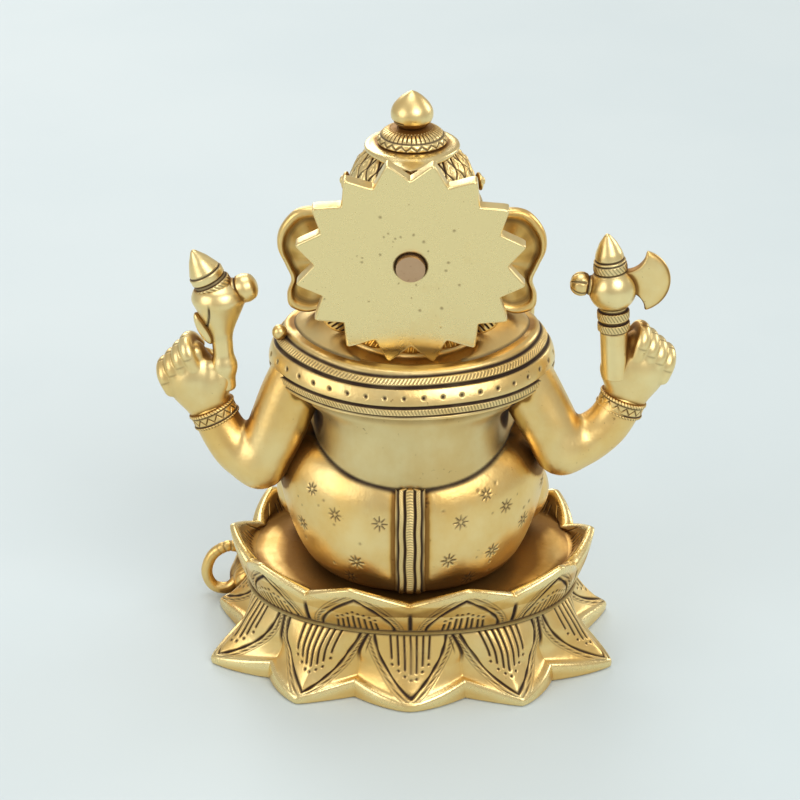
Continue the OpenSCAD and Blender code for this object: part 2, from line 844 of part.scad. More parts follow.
module tail_form() {
  limb([
    [64, -29, 9, tail_r + 0.4],
    [69, -28, 3.6, tail_r + 0.2],
    [75, -28, 4, tail_r],
    [77.5, -28, 10, tail_r],
    [75, -28.5, 17, tail_r],
    [69, -29, 20.5, tail_r],
    [63, -30.5, 18, tail_r],
    [61, -31.5, 14.5, tail_r * 0.9]
  ], n = 12, up = [0.02, 1, 0.02]);
}

module mouse() color(gold) as_cast() difference() {
  intersection() {
    mouse_form();
    translate([0, -100, 0]) cube(200);
  }
  lower_tier();
}

module mouse_tail() color(gold) as_cast() difference() {
  tail_form();
  mouse_form();
  lower_tier();
}

lower_lotus();
upper_lotus();
base_bolt();
base_washer();
lower_body();
back_pleat();
left_leg();
right_leg();
torso();
shawl();
head();
trunk();
left_tusk();
right_tusk();
left_ear();
right_ear();
crown();
crown_collar();
crown_finial();
nape_hair();
halo_disc();
halo_pin();
halo_spacer();
rear_arm_left();
rear_arm_right();
rear_bracelet_left();
rear_bracelet_right();
rear_hand_left();
rear_hand_right();
goad();
axe();
front_arm_left();
front_arm_right();
front_bracelet_left();
front_bracelet_right();
front_hand_left();
front_hand_right();
sweet();
mouse();
mouse_tail();
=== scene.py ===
import math

import bpy
import numpy as np
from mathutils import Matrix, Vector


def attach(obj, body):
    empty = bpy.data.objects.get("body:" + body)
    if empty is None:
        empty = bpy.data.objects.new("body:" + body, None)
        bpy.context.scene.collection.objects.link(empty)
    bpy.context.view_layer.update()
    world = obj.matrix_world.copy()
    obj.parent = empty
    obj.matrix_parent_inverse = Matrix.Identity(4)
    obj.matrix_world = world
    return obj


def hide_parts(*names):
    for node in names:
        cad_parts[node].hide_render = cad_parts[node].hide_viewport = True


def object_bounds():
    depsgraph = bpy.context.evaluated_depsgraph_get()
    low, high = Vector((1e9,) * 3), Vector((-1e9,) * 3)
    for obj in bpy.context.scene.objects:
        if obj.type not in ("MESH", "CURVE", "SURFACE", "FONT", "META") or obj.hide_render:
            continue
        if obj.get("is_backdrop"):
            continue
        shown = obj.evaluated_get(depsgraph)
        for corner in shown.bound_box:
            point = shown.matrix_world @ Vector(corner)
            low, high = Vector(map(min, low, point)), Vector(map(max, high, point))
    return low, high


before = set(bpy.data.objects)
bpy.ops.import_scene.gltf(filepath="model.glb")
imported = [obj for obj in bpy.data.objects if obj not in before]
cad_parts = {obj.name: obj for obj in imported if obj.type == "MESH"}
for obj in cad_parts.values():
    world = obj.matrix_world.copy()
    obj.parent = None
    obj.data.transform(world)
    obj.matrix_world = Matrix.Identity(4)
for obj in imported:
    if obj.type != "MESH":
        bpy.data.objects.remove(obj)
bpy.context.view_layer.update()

import openvdb
from mathutils import Vector

bl_info = {
    "name": "Brass Deity Statuette",
    "version": (1, 0, 0),
    "blender": (4, 5, 0),
    "location": "View3D > Sidebar > Statuette",
    "description": "Builds the cast and engraved brass looks of a seated elephant-headed statuette",
    "category": "Object",
}

# Forms are worked out in millimetres, in the frame's own axes, and become metres when a mesh is made.
MM = 0.001


# ---- curves and skins ----

def unit(v):
    v = np.asarray(v, float)
    return v / np.linalg.norm(v)


def smooth_step(low, high, x):
    t = np.clip((x - low) / (high - low), 0, 1)
    return t * t * (3 - 2 * t)


def curve(points, steps):
    """A smooth curve through the points, with steps - 1 more between each pair."""
    p = np.asarray(points, float)
    q = np.vstack([p[:1], p, p[-1:]])
    t = (np.arange(steps) / steps)[:, None]
    out = []
    for a, b, c, d in zip(q[:-3], q[1:-2], q[2:-1], q[3:]):
        out.append(0.5 * (2 * b + (c - a) * t + (2 * a - 5 * b + 4 * c - d) * t ** 2
                          + (3 * b - a - 3 * c + d) * t ** 3))
    return np.vstack(out + [p[-1:]])


def around(count):
    """Angles evenly spaced round a circle."""
    return np.linspace(0, 2 * np.pi, count, endpoint=False)


def distance_along(line):
    """How far along a line of points each of them lies."""
    return np.concatenate([[0], np.cumsum(np.linalg.norm(np.diff(line, axis=0), axis=1))])


def level(levels, z, column):
    """The value of one column of a stack's levels at height z."""
    fine = curve(levels, 12)
    return np.interp(z, fine[:, 0], fine[:, column])


class Form:
    """A closed skin: points in mm, four- and three-sided faces, and what is painted on its points."""

    def __init__(self, points, quads, tris=None):
        self.points = np.asarray(points, float)
        self.quads = np.asarray(quads, np.int64).reshape(-1, 4)
        self.tris = np.zeros((0, 3), np.int64) if tris is None else np.asarray(tris, np.int64).reshape(-1, 3)
        # What is painted on the points: patina, the dark colour of the cuts; bright, a painted highlight; the
        # third, painted shade under and between parts, with grime.
        self.patina = np.zeros(len(self.points))
        self.bright = np.zeros(len(self.points))
        self.shade_and_soil = np.zeros(len(self.points))
        self.face_outwards()

    def triangles(self):
        q = self.quads
        return np.vstack([q[:, [0, 1, 2]], q[:, [0, 2, 3]], self.tris])

    def face_outwards(self):
        t = self.triangles()
        a, b, c = (self.points[t[:, k]] for k in range(3))
        if np.einsum("ij,ij->", a, np.cross(b, c)) < 0:
            self.quads = self.quads[:, ::-1]
            self.tris = self.tris[:, ::-1]

    def normals(self):
        n = np.zeros_like(self.points)
        for faces in (self.quads, self.tris):
            if not len(faces):
                continue
            last = faces.shape[1] - 1
            across = self.points[faces[:, 2]] - self.points[faces[:, 0]]
            other = self.points[faces[:, last]] - self.points[faces[:, 1]]
            if last == 2:
                other = self.points[faces[:, 2]] - self.points[faces[:, 1]]
                across = self.points[faces[:, 1]] - self.points[faces[:, 0]]
            face = np.cross(across, other)
            for k in range(last + 1):
                for x in range(3):
                    n[:, x] += np.bincount(faces[:, k], face[:, x], len(self.points))
        return n / np.maximum(np.linalg.norm(n, axis=1), 1e-12)[:, None]

    def engrave(self, depth, patina=None):
        """Presses each point in by its depth; the antique colour gathers where it is deep."""
        depth = np.asarray(depth, float).reshape(-1)
        self.points = self.points - self.normals() * depth[:, None]
        dark = np.clip(depth / 0.4, 0, 1) if patina is None else np.asarray(patina, float).reshape(-1)
        self.patina = np.maximum(self.patina, dark)
        return self

    def placed(self, spot=(0, 0, 0), aim=(0, 0, 1)):
        """The form with its own z axis turned to aim, and moved to spot."""
        self.points = self.points @ turn_to(aim).T + np.asarray(spot, float)
        return self

    def with_(self, *others):
        """One form of several separate skins."""
        out = Form(self.points, self.quads, self.tris)
        out.patina, out.bright, out.shade_and_soil = self.patina, self.bright, self.shade_and_soil
        for o in others:
            n = len(out.points)
            out.points = np.vstack([out.points, o.points])
            out.quads = np.vstack([out.quads, o.quads + n])
            out.tris = np.vstack([out.tris, o.tris + n])
            out.patina = np.concatenate([out.patina, o.patina])
            out.bright = np.concatenate([out.bright, o.bright])
            out.shade_and_soil = np.concatenate([out.shade_and_soil, o.shade_and_soil])
        return out


def joined(forms):
    """One form of a list of separate skins."""
    return forms[0].with_(*forms[1:])


def turn_to(aim):
    """The turn that carries +z to aim: first down from z, then round it."""
    d = unit(aim)
    yaw, pitch = math.atan2(d[1], d[0]), math.acos(d[2])
    cy, sy, cp, sp = math.cos(yaw), math.sin(yaw), math.cos(pitch), math.sin(pitch)
    return np.array([[cy * cp, -sy, cy * sp], [sy * cp, cy, sy * sp], [-sp, 0, cp]])


def skin(grid):
    """A closed form over rows of points; each row closes on itself, and both ends are filled."""
    grid = np.asarray(grid, float)
    rows, cols = grid.shape[:2]
    i = np.arange(rows * cols).reshape(rows, cols)
    j = np.roll(i, -1, 1)
    quads = np.stack([i[:-1], j[:-1], j[1:], i[1:]], -1).reshape(-1, 4)
    points = np.vstack([grid.reshape(-1, 3), grid[0].mean(0), grid[-1].mean(0)])
    n = rows * cols
    near = np.stack([j[0], i[0], np.full(cols, n)], -1)
    far = np.stack([i[-1], j[-1], np.full(cols, n + 1)], -1)
    return Form(points, quads, np.vstack([near, far]))


def tail(values):
    """Values on a skin's rows, with none for its two end points."""
    return np.concatenate([np.asarray(values, float).reshape(-1), [0, 0]])


def stack(levels, steps=8, sides=96):
    fine = curve(levels, steps)
    a = around(sides)
    grid = np.stack([
        fine[:, 1:2] + fine[:, 3:4] * np.cos(a),
        fine[:, 2:3] + fine[:, 4:5] * np.sin(a),
        np.repeat(fine[:, :1], sides, 1),
    ], -1)
    return skin(grid)


def limb_grid(way, steps=8, sides=48, up=(0, 1, 0.02), flat=1.0):
    """Rows of points round a way of [x, y, z, radius], with rounded ends."""
    s = curve(way, steps)
    d = np.gradient(s[:, :3], axis=0)
    d /= np.linalg.norm(d, axis=1)[:, None]
    caps = np.radians([86, 70, 54, 38, 22, 8])
    rows = [(s[0, :3] - d[0] * s[0, 3] * math.sin(e), d[0], s[0, 3] * math.cos(e)) for e in caps]
    rows += [(p[:3], q, p[3]) for p, q in zip(s, d)]
    rows += [(s[-1, :3] + d[-1] * s[-1, 3] * math.sin(e), d[-1], s[-1, 3] * math.cos(e)) for e in caps[::-1]]
    a = around(sides)
    grid = []
    for c, q, r in rows:
        u = unit(np.cross(up, q))
        v = np.cross(q, u)
        grid.append(c + r * (np.outer(np.cos(a), u) + flat * np.outer(np.sin(a), v)))
    return np.array(grid)


def limb(way, **more):
    return skin(limb_grid(way, **more))


def lathe_grid(profile, sides, rows):
    """Rows of points round z, evenly spaced along a profile of [radius, z]."""
    p = np.asarray(profile, float)
    far = distance_along(p)
    at = np.linspace(0, far[-1], rows)
    r, z = np.interp(at, far, p[:, 0]), np.interp(at, far, p[:, 1])
    soft = np.ones(5) / 5
    r[2:-2], z[2:-2] = np.convolve(r, soft, "valid"), np.convolve(z, soft, "valid")
    a = around(sides)
    grid = np.stack([np.outer(r, np.cos(a)), np.outer(r, np.sin(a)), np.repeat(z[:, None], sides, 1)], -1)
    return grid, np.repeat(at[:, None], sides, 1), np.repeat(a[None], rows, 0), np.repeat(r[:, None], sides, 1)


def lathe(profile, sides=96, rows=80, cut=None):
    """A turned form; cut(along, angle, radius, z) gives how deep it is engraved."""
    grid, along, angle, radius = lathe_grid(profile, sides, rows)
    form = skin(grid)
    if cut is not None:
        form.engrave(tail(cut(along, angle, radius, grid[..., 2])))
    return form


def ball(spot, size, steps=10, sides=24):
    """A ball, or an egg with three half sizes."""
    size = np.ones(3) * size
    t = np.linspace(-np.pi / 2 + 0.05, np.pi / 2 - 0.05, steps)
    a = around(sides)
    grid = np.stack([np.outer(np.cos(t), np.cos(a)), np.outer(np.cos(t), np.sin(a)),
                     np.repeat(np.sin(t)[:, None], sides, 1)], -1)
    return skin(grid * size + np.asarray(spot, float))


# ---- clay: forms joined with soft fillets ----

class Clay:
    """A block of space that forms are pressed together in, with a fillet of the chosen size."""

    def __init__(self, low, high, grain=0.5):
        self.low = np.asarray(low, float)
        self.grain = grain
        self.size = tuple(int(math.ceil(v)) for v in (np.asarray(high, float) - self.low) / grain)
        self.field = None

    def reading(self, form):
        spots = ((form.points - self.low) / self.grain).astype(np.float32)
        grid = openvdb.FloatGrid.createLevelSetFromPolygons(
            spots, triangles=form.triangles().astype(np.uint32),
            transform=openvdb.createLinearTransform(1.0), halfWidth=8)
        out = np.full(self.size, grid.background, np.float32)
        grid.copyToArray(out)
        return out * self.grain

    def add(self, form, fillet=0.0):
        d = self.reading(form)
        if self.field is None:
            self.field = d
        elif fillet <= 0:
            np.minimum(self.field, d, out=self.field)
        else:
            h = np.clip(0.5 + 0.5 * (self.field - d) / fillet, 0, 1)
            self.field = self.field * (1 - h) + d * h - fillet * h * (1 - h)
        return self

    def cut(self, form, fillet=0.0):
        d = -self.reading(form)
        if fillet <= 0:
            np.maximum(self.field, d, out=self.field)
        else:
            h = np.clip(0.5 - 0.5 * (self.field - d) / fillet, 0, 1)
            self.field = self.field * (1 - h) + d * h + fillet * h * (1 - h)
        return self

    def soften(self, passes=1):
        f = self.field
        for _ in range(passes):
            for axis in range(3):
                f = 0.5 * f + 0.25 * (np.roll(f, 1, axis) + np.roll(f, -1, axis))
        self.field = f
        return self

    def form(self, passes=1):
        self.soften(passes)
        grid = openvdb.FloatGrid()
        grid.copyFromArray(self.field)
        points, quads = grid.convertToQuads(0.0)
        out = Form(self.low + points * self.grain, quads)
        # Painted shade in tight hollows, with the black patina there.
        out.patina = 0.85 * self.hollows(out, 1.1) ** 1.5
        return out

    def hollows(self, form, reach):
        return closeness(self.field, self.low, self.grain, form.points, form.normals(), reach)


def sample(field, low, grain, points):
    q = np.clip((points - low) / grain, 0, np.array(field.shape) - 1.001)
    i = q.astype(int)
    f = q - i
    out = 0
    for k in range(8):
        o = np.array([k & 1, k >> 1 & 1, k >> 2])
        w = np.prod(np.where(o, f, 1 - f), axis=1)
        c = i + o
        out = out + w * field[c[:, 0], c[:, 1], c[:, 2]]
    return out


def closeness(field, low, grain, points, normals, reach):
    """0 where the surface looks out freely, up to 1 where something else is within reach in front of it."""
    d = sample(field, low, grain, points + normals * reach)
    return np.clip(1 - d / reach, 0, 1)


def statue_space():
    """How far each spot is from the frame's own solids, for the painted shade and brown patina where they meet.
    """
    low, high = (np.array(b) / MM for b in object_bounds())
    clay = Clay(low - 4, high + 4, 1.0)
    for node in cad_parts.values():
        mesh = node.data
        mesh.calc_loop_triangles()
        points = np.zeros(len(mesh.vertices) * 3, np.float32)
        tris = np.zeros(len(mesh.loop_triangles) * 3, np.int32)
        mesh.vertices.foreach_get("co", points)
        mesh.loop_triangles.foreach_get("vertices", tris)
        keys = np.round(points.reshape(-1, 3) / MM, 4)
        spots, where = np.unique(keys, axis=0, return_inverse=True)
        form = Form(spots, np.zeros((0, 4)), where.reshape(-1)[tris].reshape(-1, 3))
        clay.add(form)
    return clay


SPACE = statue_space()


# ---- finishes ----

class Wire:
    """A socket's value in a material; arithmetic on it adds Math nodes."""

    def __init__(self, kit, socket):
        self.kit, self.socket = kit, socket

    def maths(self, operation, *values):
        return self.kit.node("ShaderNodeMath", {"operation": operation}, dict(enumerate(values)))

    def __add__(self, other):
        return self.maths("ADD", self, other)

    def __radd__(self, other):
        return self.maths("ADD", other, self)

    def __sub__(self, other):
        return self.maths("SUBTRACT", self, other)

    def __rsub__(self, other):
        return self.maths("SUBTRACT", other, self)

    def __mul__(self, other):
        return self.maths("MULTIPLY", self, other)

    def __rmul__(self, other):
        return self.maths("MULTIPLY", other, self)

    def __pow__(self, other):
        return self.maths("POWER", self, other)

    def held(self):
        """The value kept between 0 and 1."""
        return self.kit.node("ShaderNodeMath", {"operation": "ADD", "use_clamp": True}, {0: self, 1: 0.0})

    def between(self, low, high):
        """0 at low and 1 at high, with soft ends."""
        return self.kit.node("ShaderNodeMapRange", {"interpolation_type": "SMOOTHSTEP"},
                             {"Value": self, "From Min": low, "From Max": high})


class Kit:
    """One material's nodes."""

    def __init__(self, name):
        self.material = bpy.data.materials.new(name)
        self.material.use_nodes = True
        self.tree = self.material.node_tree
        self.tree.nodes.clear()

    def node(self, kind, settings=None, sockets=None, out=0):
        n = self.tree.nodes.new(kind)
        for key, value in (settings or {}).items():
            setattr(n, key, value)
        for key, value in (sockets or {}).items():
            if isinstance(value, Wire):
                self.tree.links.new(value.socket, n.inputs[key])
            else:
                n.inputs[key].default_value = value
        return Wire(self, n.outputs[out] if n.outputs else None)

    def painted(self, name):
        return self.node("ShaderNodeAttribute", {"attribute_name": name}, out="Fac")

    def noise(self, scale, detail=3.0, stretch=None):
        where = self.node("ShaderNodeTexCoord", out="Object")
        if stretch is not None:
            where = self.node("ShaderNodeVectorMath", {"operation": "MULTIPLY"}, {0: where, 1: stretch})
        return self.node("ShaderNodeTexNoise", None,
                         {"Vector": where, "Scale": scale, "Detail": detail, "Roughness": 0.55}, out="Fac")

    def mixed(self, factor, first, second):
        n = self.tree.nodes.new("ShaderNodeMix")
        n.data_type = "RGBA"
        ends = (("Factor_Float", factor), ("A_Color", first), ("B_Color", second))
        for key, value in ends:
            socket = next(s for s in n.inputs if s.identifier == key)
            if isinstance(value, Wire):
                self.tree.links.new(value.socket, socket)
            else:
                socket.default_value = value
        return Wire(self, next(s for s in n.outputs if s.identifier == "Result_Color"))


def brass(name, pale, warm_tone_and_shade, brown, black, roughness, grit, warmth, scratches):
    """Cast brass: pale where it is rubbed, orange with painted shade in the hollows, brown with painted shade
    and patina where parts meet, brown to black in the cuts, paler under a painted highlight.
    """
    kit = Kit(name)
    patina = kit.painted("patina")
    # Painted shade and brown patina where other parts come close.
    crease = kit.painted("crease")
    # A painted highlight.
    bright = kit.painted("bright")
    broad = kit.noise(26.0, 2.0)
    cloud = kit.noise(95.0, 4.0)
    fine = kit.noise(620.0, 3.0)
    brush = kit.noise(420.0, 2.0, (1.0, 1.0, 0.12))
    rubbed = (0.75 * broad + 0.45 * cloud).between(0.42, 0.78)
    # Mottled tone, the slot's own tint, and painted shade in the hollows; less under the painted highlight.
    warmth_and_shade = (rubbed * 0.55 + crease * 1.1 + warmth - bright * 0.5).held()
    colour = kit.mixed(warmth_and_shade, pale, warm_tone_and_shade)
    # Painted shade with brown patina where parts meet, and cloudy grime; less under the painted highlight.
    grime_and_shade_mask = (crease * 1.5 + cloud * 0.5 - 0.62 - bright * 0.3).between(0.0, 0.75)
    colour = kit.mixed(grime_and_shade_mask * 0.8, colour, brown)
    specks = fine.between(0.66, 0.74) * cloud.between(0.5, 0.62) * 0.55
    colour = kit.mixed(specks.held(), colour, brown)
    cuts = (patina * (0.82 + 0.36 * cloud)).held()
    colour = kit.mixed(cuts ** 0.8, colour, black)
    rough = roughness + 0.16 * (cloud - 0.5) + 0.1 * (fine - 0.5) + 0.2 * grime_and_shade_mask + 0.34 * cuts - 0.08 * bright
    height = fine * 0.5 + cloud * 0.9 + brush * (0.35 + scratches)
    bump = kit.node("ShaderNodeBump", None, {"Strength": 1.0, "Distance": grit * MM, "Height": height})
    surface = kit.node("ShaderNodeBsdfPrincipled", None, {
        "Base Color": colour, "Metallic": (1.0 - 0.55 * cuts), "Roughness": rough.held(), "Normal": bump,
    })
    kit.node("ShaderNodeOutputMaterial", None, {"Surface": surface})
    return kit.material


def floor_finish():
    kit = Kit("pale_floor")
    cloud = kit.noise(6.0, 3.0)
    colour = kit.mixed(cloud.between(0.3, 0.7) * 0.35, (0.6, 0.68, 0.71, 1), (0.54, 0.63, 0.67, 1))
    surface = kit.node("ShaderNodeBsdfPrincipled", None, {"Base Color": colour, "Roughness": 0.6})
    kit.node("ShaderNodeOutputMaterial", None, {"Surface": surface})
    return kit.material


# Each brass slot: how much rougher than the polished brass, grain in mm, warmth, scratches.
BRASS_SLOTS = {
    "cast_brass": (0.05, 0.16, 0.26, 0.0),
    "polished_brass": (0.04, 0.06, -0.04, 0.3),
    "engraved_brass": (0.03, 0.14, 0.05, 0.0),
}
# The fixings have a pale and an orange colour of their own, the orange one also painted shade, then roughness,
# grain in mm, warmth, scratches.
FIXING_SLOTS = {
    "rivet_brass": ((0.62, 0.42, 0.26, 1), (0.5, 0.3, 0.16, 1), 0.4, 0.16, 0.1, 0.5),
    "fastener_steel": ((0.56, 0.55, 0.52, 1), (0.45, 0.42, 0.38, 1), 0.34, 0.1, 0.0, 0.0),
}
FINISHES = {}


def finish(slot):
    """A slot's material, made the first time that it is asked for."""
    if slot not in FINISHES:
        f = bpy.context.scene.statuette_finish
        pale, warm_tone_and_shade, brown, black = (tuple(c) + (1,) for c in (f.pale, f.warm_tone_and_shade, f.brown, f.black))
        if slot in BRASS_SLOTS:
            rougher, *rest = BRASS_SLOTS[slot]
            rest = [f.roughness + rougher, *rest]
        else:
            pale, warm_tone_and_shade, *rest = FIXING_SLOTS[slot]
        FINISHES[slot] = brass(slot, pale, warm_tone_and_shade, brown, black, *rest)
    return FINISHES[slot]


# ---- pieces ----

# How far in front of the skin the two readings are taken that tell where painted shade and brown patina gather.
NEAR_SHADE, FAR_SHADE = 2.6, 6.5


def new_object(name, data):
    obj = bpy.data.objects.new(name, data)
    bpy.context.scene.collection.objects.link(obj)
    return obj


def piece(name, form, slot, stands_for=(), body="idol", shade_and_patina=1.0):
    """A mesh piece from a form, with its painted values, its finish and the body that it rides on."""
    mesh = bpy.data.meshes.new(name)
    form.points[:, 2] = np.maximum(form.points[:, 2], 0.0)
    quads, tris = len(form.quads), len(form.tris)
    mesh.vertices.add(len(form.points))
    mesh.vertices.foreach_set("co", (form.points * MM).astype(np.float32).ravel())
    mesh.loops.add(quads * 4 + tris * 3)
    corners = np.concatenate([form.quads.ravel(), form.tris.ravel()])
    mesh.loops.foreach_set("vertex_index", corners.astype(np.int32))
    mesh.polygons.add(quads + tris)
    starts = np.concatenate([np.arange(quads) * 4, quads * 4 + np.arange(tris) * 3])
    mesh.polygons.foreach_set("loop_start", starts.astype(np.int32))
    mesh.polygons.foreach_set("use_smooth", np.ones(quads + tris, bool))
    mesh.update(calc_edges=True)
    mesh.validate()
    n = form.normals()
    near, far = (closeness(SPACE.field, SPACE.low, SPACE.grain, form.points, n, reach)
                 for reach in (NEAR_SHADE, FAR_SHADE))
    # Painted shade with brown patina where other parts lie close in front of the skin, plus the painted shade
    # and grime that the form carries.
    crease = shade_and_patina * smooth_step(0.08, 0.8, 0.6 * near + 0.6 * far) + form.shade_and_soil
    for key, values in (("patina", form.patina), ("crease", crease), ("bright", form.bright)):
        layer = mesh.attributes.new(key, "FLOAT", "POINT")
        layer.data.foreach_set("value", np.clip(values, 0, 1).astype(np.float32))
    mesh.materials.append(finish(slot))
    obj = new_object(name, mesh)
    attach(obj, body)
    if stands_for:
        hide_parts(*stands_for)
    return obj


def meeting(form, other, reach):
    """1 where the form's points lie on another form's skin, falling to 0 at reach from it."""
    clay = Clay(other.points.min(0) - 5, other.points.max(0) + 5, 0.8)
    apart = sample(clay.reading(other), clay.low, clay.grain, form.points)
    return smooth_step(reach, 0.25 * reach, np.abs(apart))


def groove(x, half):
    """1 in the middle of a cut and 0 at half its width and beyond."""
    return np.clip(1.15 - np.abs(x) / half, 0, 1)


def dots(across, along, gap, half):
    """A row of punched dots, spaced by gap."""
    near = (along / gap - np.round(along / gap)) * gap
    return np.clip(1.2 - np.hypot(across, near) / half, 0, 1)


# ---- lotus base ----

PETALS = 10
STEPS = 136


def bow(x, power):
    return np.sign(x) * np.abs(x) ** power


def oval(turn, rx, ry, power):
    a = np.radians(turn)
    return np.stack([rx * bow(np.sin(a), power), ry * bow(np.cos(a), power)], -1)


def lower_turn(p):
    q = np.where(p > PETALS / 2, PETALS - p, np.abs(p))
    t = np.interp(q, [0, 1, 2, 3, 4, 5], [0, 27, 72, 108, 153, 180])
    return np.where(p > PETALS / 2, 360 - t, np.where(p < 0, -t, t))


def petal_rings(rows, turn, sharp, waist, power):
    """Rings from rows of ("waist", share, z) or ("petal", reach x, reach y, notch share, tip z, notch z)."""
    rings = []
    for row in rows:
        if row[0] == "waist":
            xy = oval(turn, waist[0] * row[1], waist[1] * row[1], 0.95)
            z = np.full(len(turn), row[2])
        else:
            xy = oval(turn, row[1], row[2], power) * (row[3] + (1 - row[3]) * sharp)[:, None]
            z = row[5] + (row[4] - row[5]) * sharp
        rings.append(np.column_stack([xy, z]))
    return np.array(rings)


def respaced(rings, parts, middle):
    """Rings put at even distances along the middle column, part by part: (last ring, how many)."""
    n, cols = rings.shape[:2]
    fine = curve(rings.reshape(n, -1), 12).reshape(-1, cols, 3)
    far = distance_along(fine[:, middle])
    at, start = [], 0.0
    for last, count in parts:
        end = far[last * 12]
        at.append(np.linspace(start, end, count, endpoint=False))
        start = end
    at = np.concatenate(at + [[start]])
    i = np.interp(at, far, np.arange(len(far)))
    low = np.minimum(i.astype(int), len(far) - 2)
    share = (i - low)[:, None, None]
    return fine[low] * (1 - share) + fine[low + 1] * share


def petal_places(grid):
    """For each point: how far across its petal from the middle, how far down, and the petal's half width."""
    pitch = np.linalg.norm(np.roll(grid, -1, 1) - grid, axis=2).reshape(len(grid), PETALS, STEPS)
    run = np.cumsum(pitch, axis=2)
    half = run[..., -1:] / 2
    across = (run - half).reshape(len(grid), -1)
    down = np.vstack([np.zeros((1, grid.shape[1])),
                      np.cumsum(np.linalg.norm(np.diff(grid, axis=0), axis=2), axis=0)])
    return across, down, np.repeat(half, STEPS, 2).reshape(len(grid), -1)


def petal_work(across, down, length, seam_half, width, power, strokes, gap, reach, seed):
    """How deep each petal's face is cut: a pointed border, dotted strokes inside, a beaded line outside."""
    t = np.clip(down / length, 0, 1.2)
    half = width * seam_half * (1 - np.minimum(t, 1.15) ** power)
    slope = width * seam_half * power * np.clip(t, 0.02, 1.1) ** (power - 1) / length
    outside = (np.abs(across) - half) / np.sqrt(1 + slope ** 2)
    wander = 1 + 0.25 * np.sin(down * 0.9 + across * 0.4)
    depth = 0.55 * groove(outside, 0.66 * wander)
    along = down + 0.7 * np.abs(across)
    depth = np.maximum(depth, 0.34 * dots(outside - 1.9, along, 1.45, 0.68))
    depth = np.maximum(depth, 0.16 * groove(outside - 3.1, 0.3) * (outside > 0))
    rng = np.random.default_rng(seed)
    petal = np.repeat(np.arange(PETALS), STEPS)[None]
    for k in range(strokes):
        place = k - (strokes - 1) / 2
        shift = rng.uniform(-0.18, 0.18, PETALS)[petal]
        share = reach * (1 - 0.5 * (abs(place) / (strokes / 2)) ** 1.6)
        end = length * (share + rng.uniform(-0.03, 0.03, PETALS)[petal])
        x = across - place * gap * (1 - 0.12 * t) - shift
        depth = np.maximum(depth, 0.5 * groove(x, 0.54) * smooth_step(end + 0.3, end - 0.6, down))
        depth = np.maximum(depth, 0.46 * np.clip(1.3 - np.hypot(x + shift * 0.5, down - end - 1.7) / 0.6, 0, 1))
    return depth


def petal_turns(blunt, back, power):
    """Where each column stands, counted in petals, and how near it is to its petal's tip, 0 to 1."""
    p = (np.arange(PETALS * STEPS) + 0.5) / STEPS - 0.5
    lean = np.sqrt((p - np.round(p)) ** 2 + blunt) - back
    return p, np.clip(1 - 2 * lean, 0, 1) ** power


def at_tips(row):
    """A row's value in the middle of each petal, given to all of that petal's columns."""
    return np.repeat(row.reshape(PETALS, STEPS)[:, STEPS // 2], STEPS)[None]


def on_rows(grid, first, values):
    """Values for a skin's points: none above the first row that they start on."""
    full = np.zeros(grid.shape[:2])
    full[first:] = values
    return tail(full)


def lower_tier(size):
    """The lower petals: long, drooping to the floor, hollow underneath."""
    p, sharp = petal_turns(0.0006, 0.0245, 1.1)
    rx, ry = size.lower_reach_x / MM, size.lower_reach_y / MM
    seam, wall = size.seam_z / MM, size.base_wall / MM
    rows = [
        ("waist", 0.3, seam), ("waist", 0.97, seam), ("waist", 1, seam - 0.5),
        ("petal", rx - 13.5, ry - 8.6, 0.93, 18.5, 18),
        ("petal", rx - 9, ry - 6, 0.86, 11.5, 13),
        ("petal", rx - 3.5, ry - 2.8, 0.82, 5.4, 8.6),
        ("petal", rx - 0.4, ry - 0.4, 0.83, 3.2, 7),
        ("petal", rx, ry, 0.835, 1.4, 2.4),
        ("petal", rx - 1.2, ry - 1.2, 0.83, 0.12, 0.12),
        ("petal", rx - wall - 4, ry - wall - 3, 0.8, 0.12, 0.12),
        ("waist", 0.88, seam - 4), ("waist", 0.2, seam - 4),
    ]
    rings = petal_rings(rows, lower_turn(p), sharp, (size.waist_x / MM, size.waist_y / MM), 0.8)
    lead, face = 8, 84
    grid = respaced(rings, [(1, 4), (2, 4), (6, face), (8, 14), (11, 24)], STEPS // 2)
    across, down, half = petal_places(grid[lead:])
    shell = down[face]
    depth = petal_work(across, down, at_tips(shell) - 2.2, half[2:3], 0.84, 2.2, 7, 2.35, 0.66, 4)
    valley = half - np.abs(across)
    depth = np.maximum(depth, 0.55 * groove(valley, 0.8) * smooth_step(shell * 0.66, shell * 0.35, down))
    side = groove(valley - 1.5 - 0.12 * down, 0.36) * smooth_step(9.5, 6, down) * smooth_step(0.6, 2, down)
    depth = np.maximum(depth, 0.34 * side)
    depth *= (down < shell - 0.6) & (down > 0.35)
    form = skin(grid).engrave(on_rows(grid, lead, depth))
    # Painted highlight along the rims of the petals.
    edge = smooth_step(shell - 3, shell - 0.5, down) * smooth_step(shell + 4, shell + 1.5, down)
    form.bright = on_rows(grid, lead, edge)
    form.patina = np.maximum(form.patina, on_rows(grid, lead, 0.75 * smooth_step(1.1, 0.2, down)))
    return form


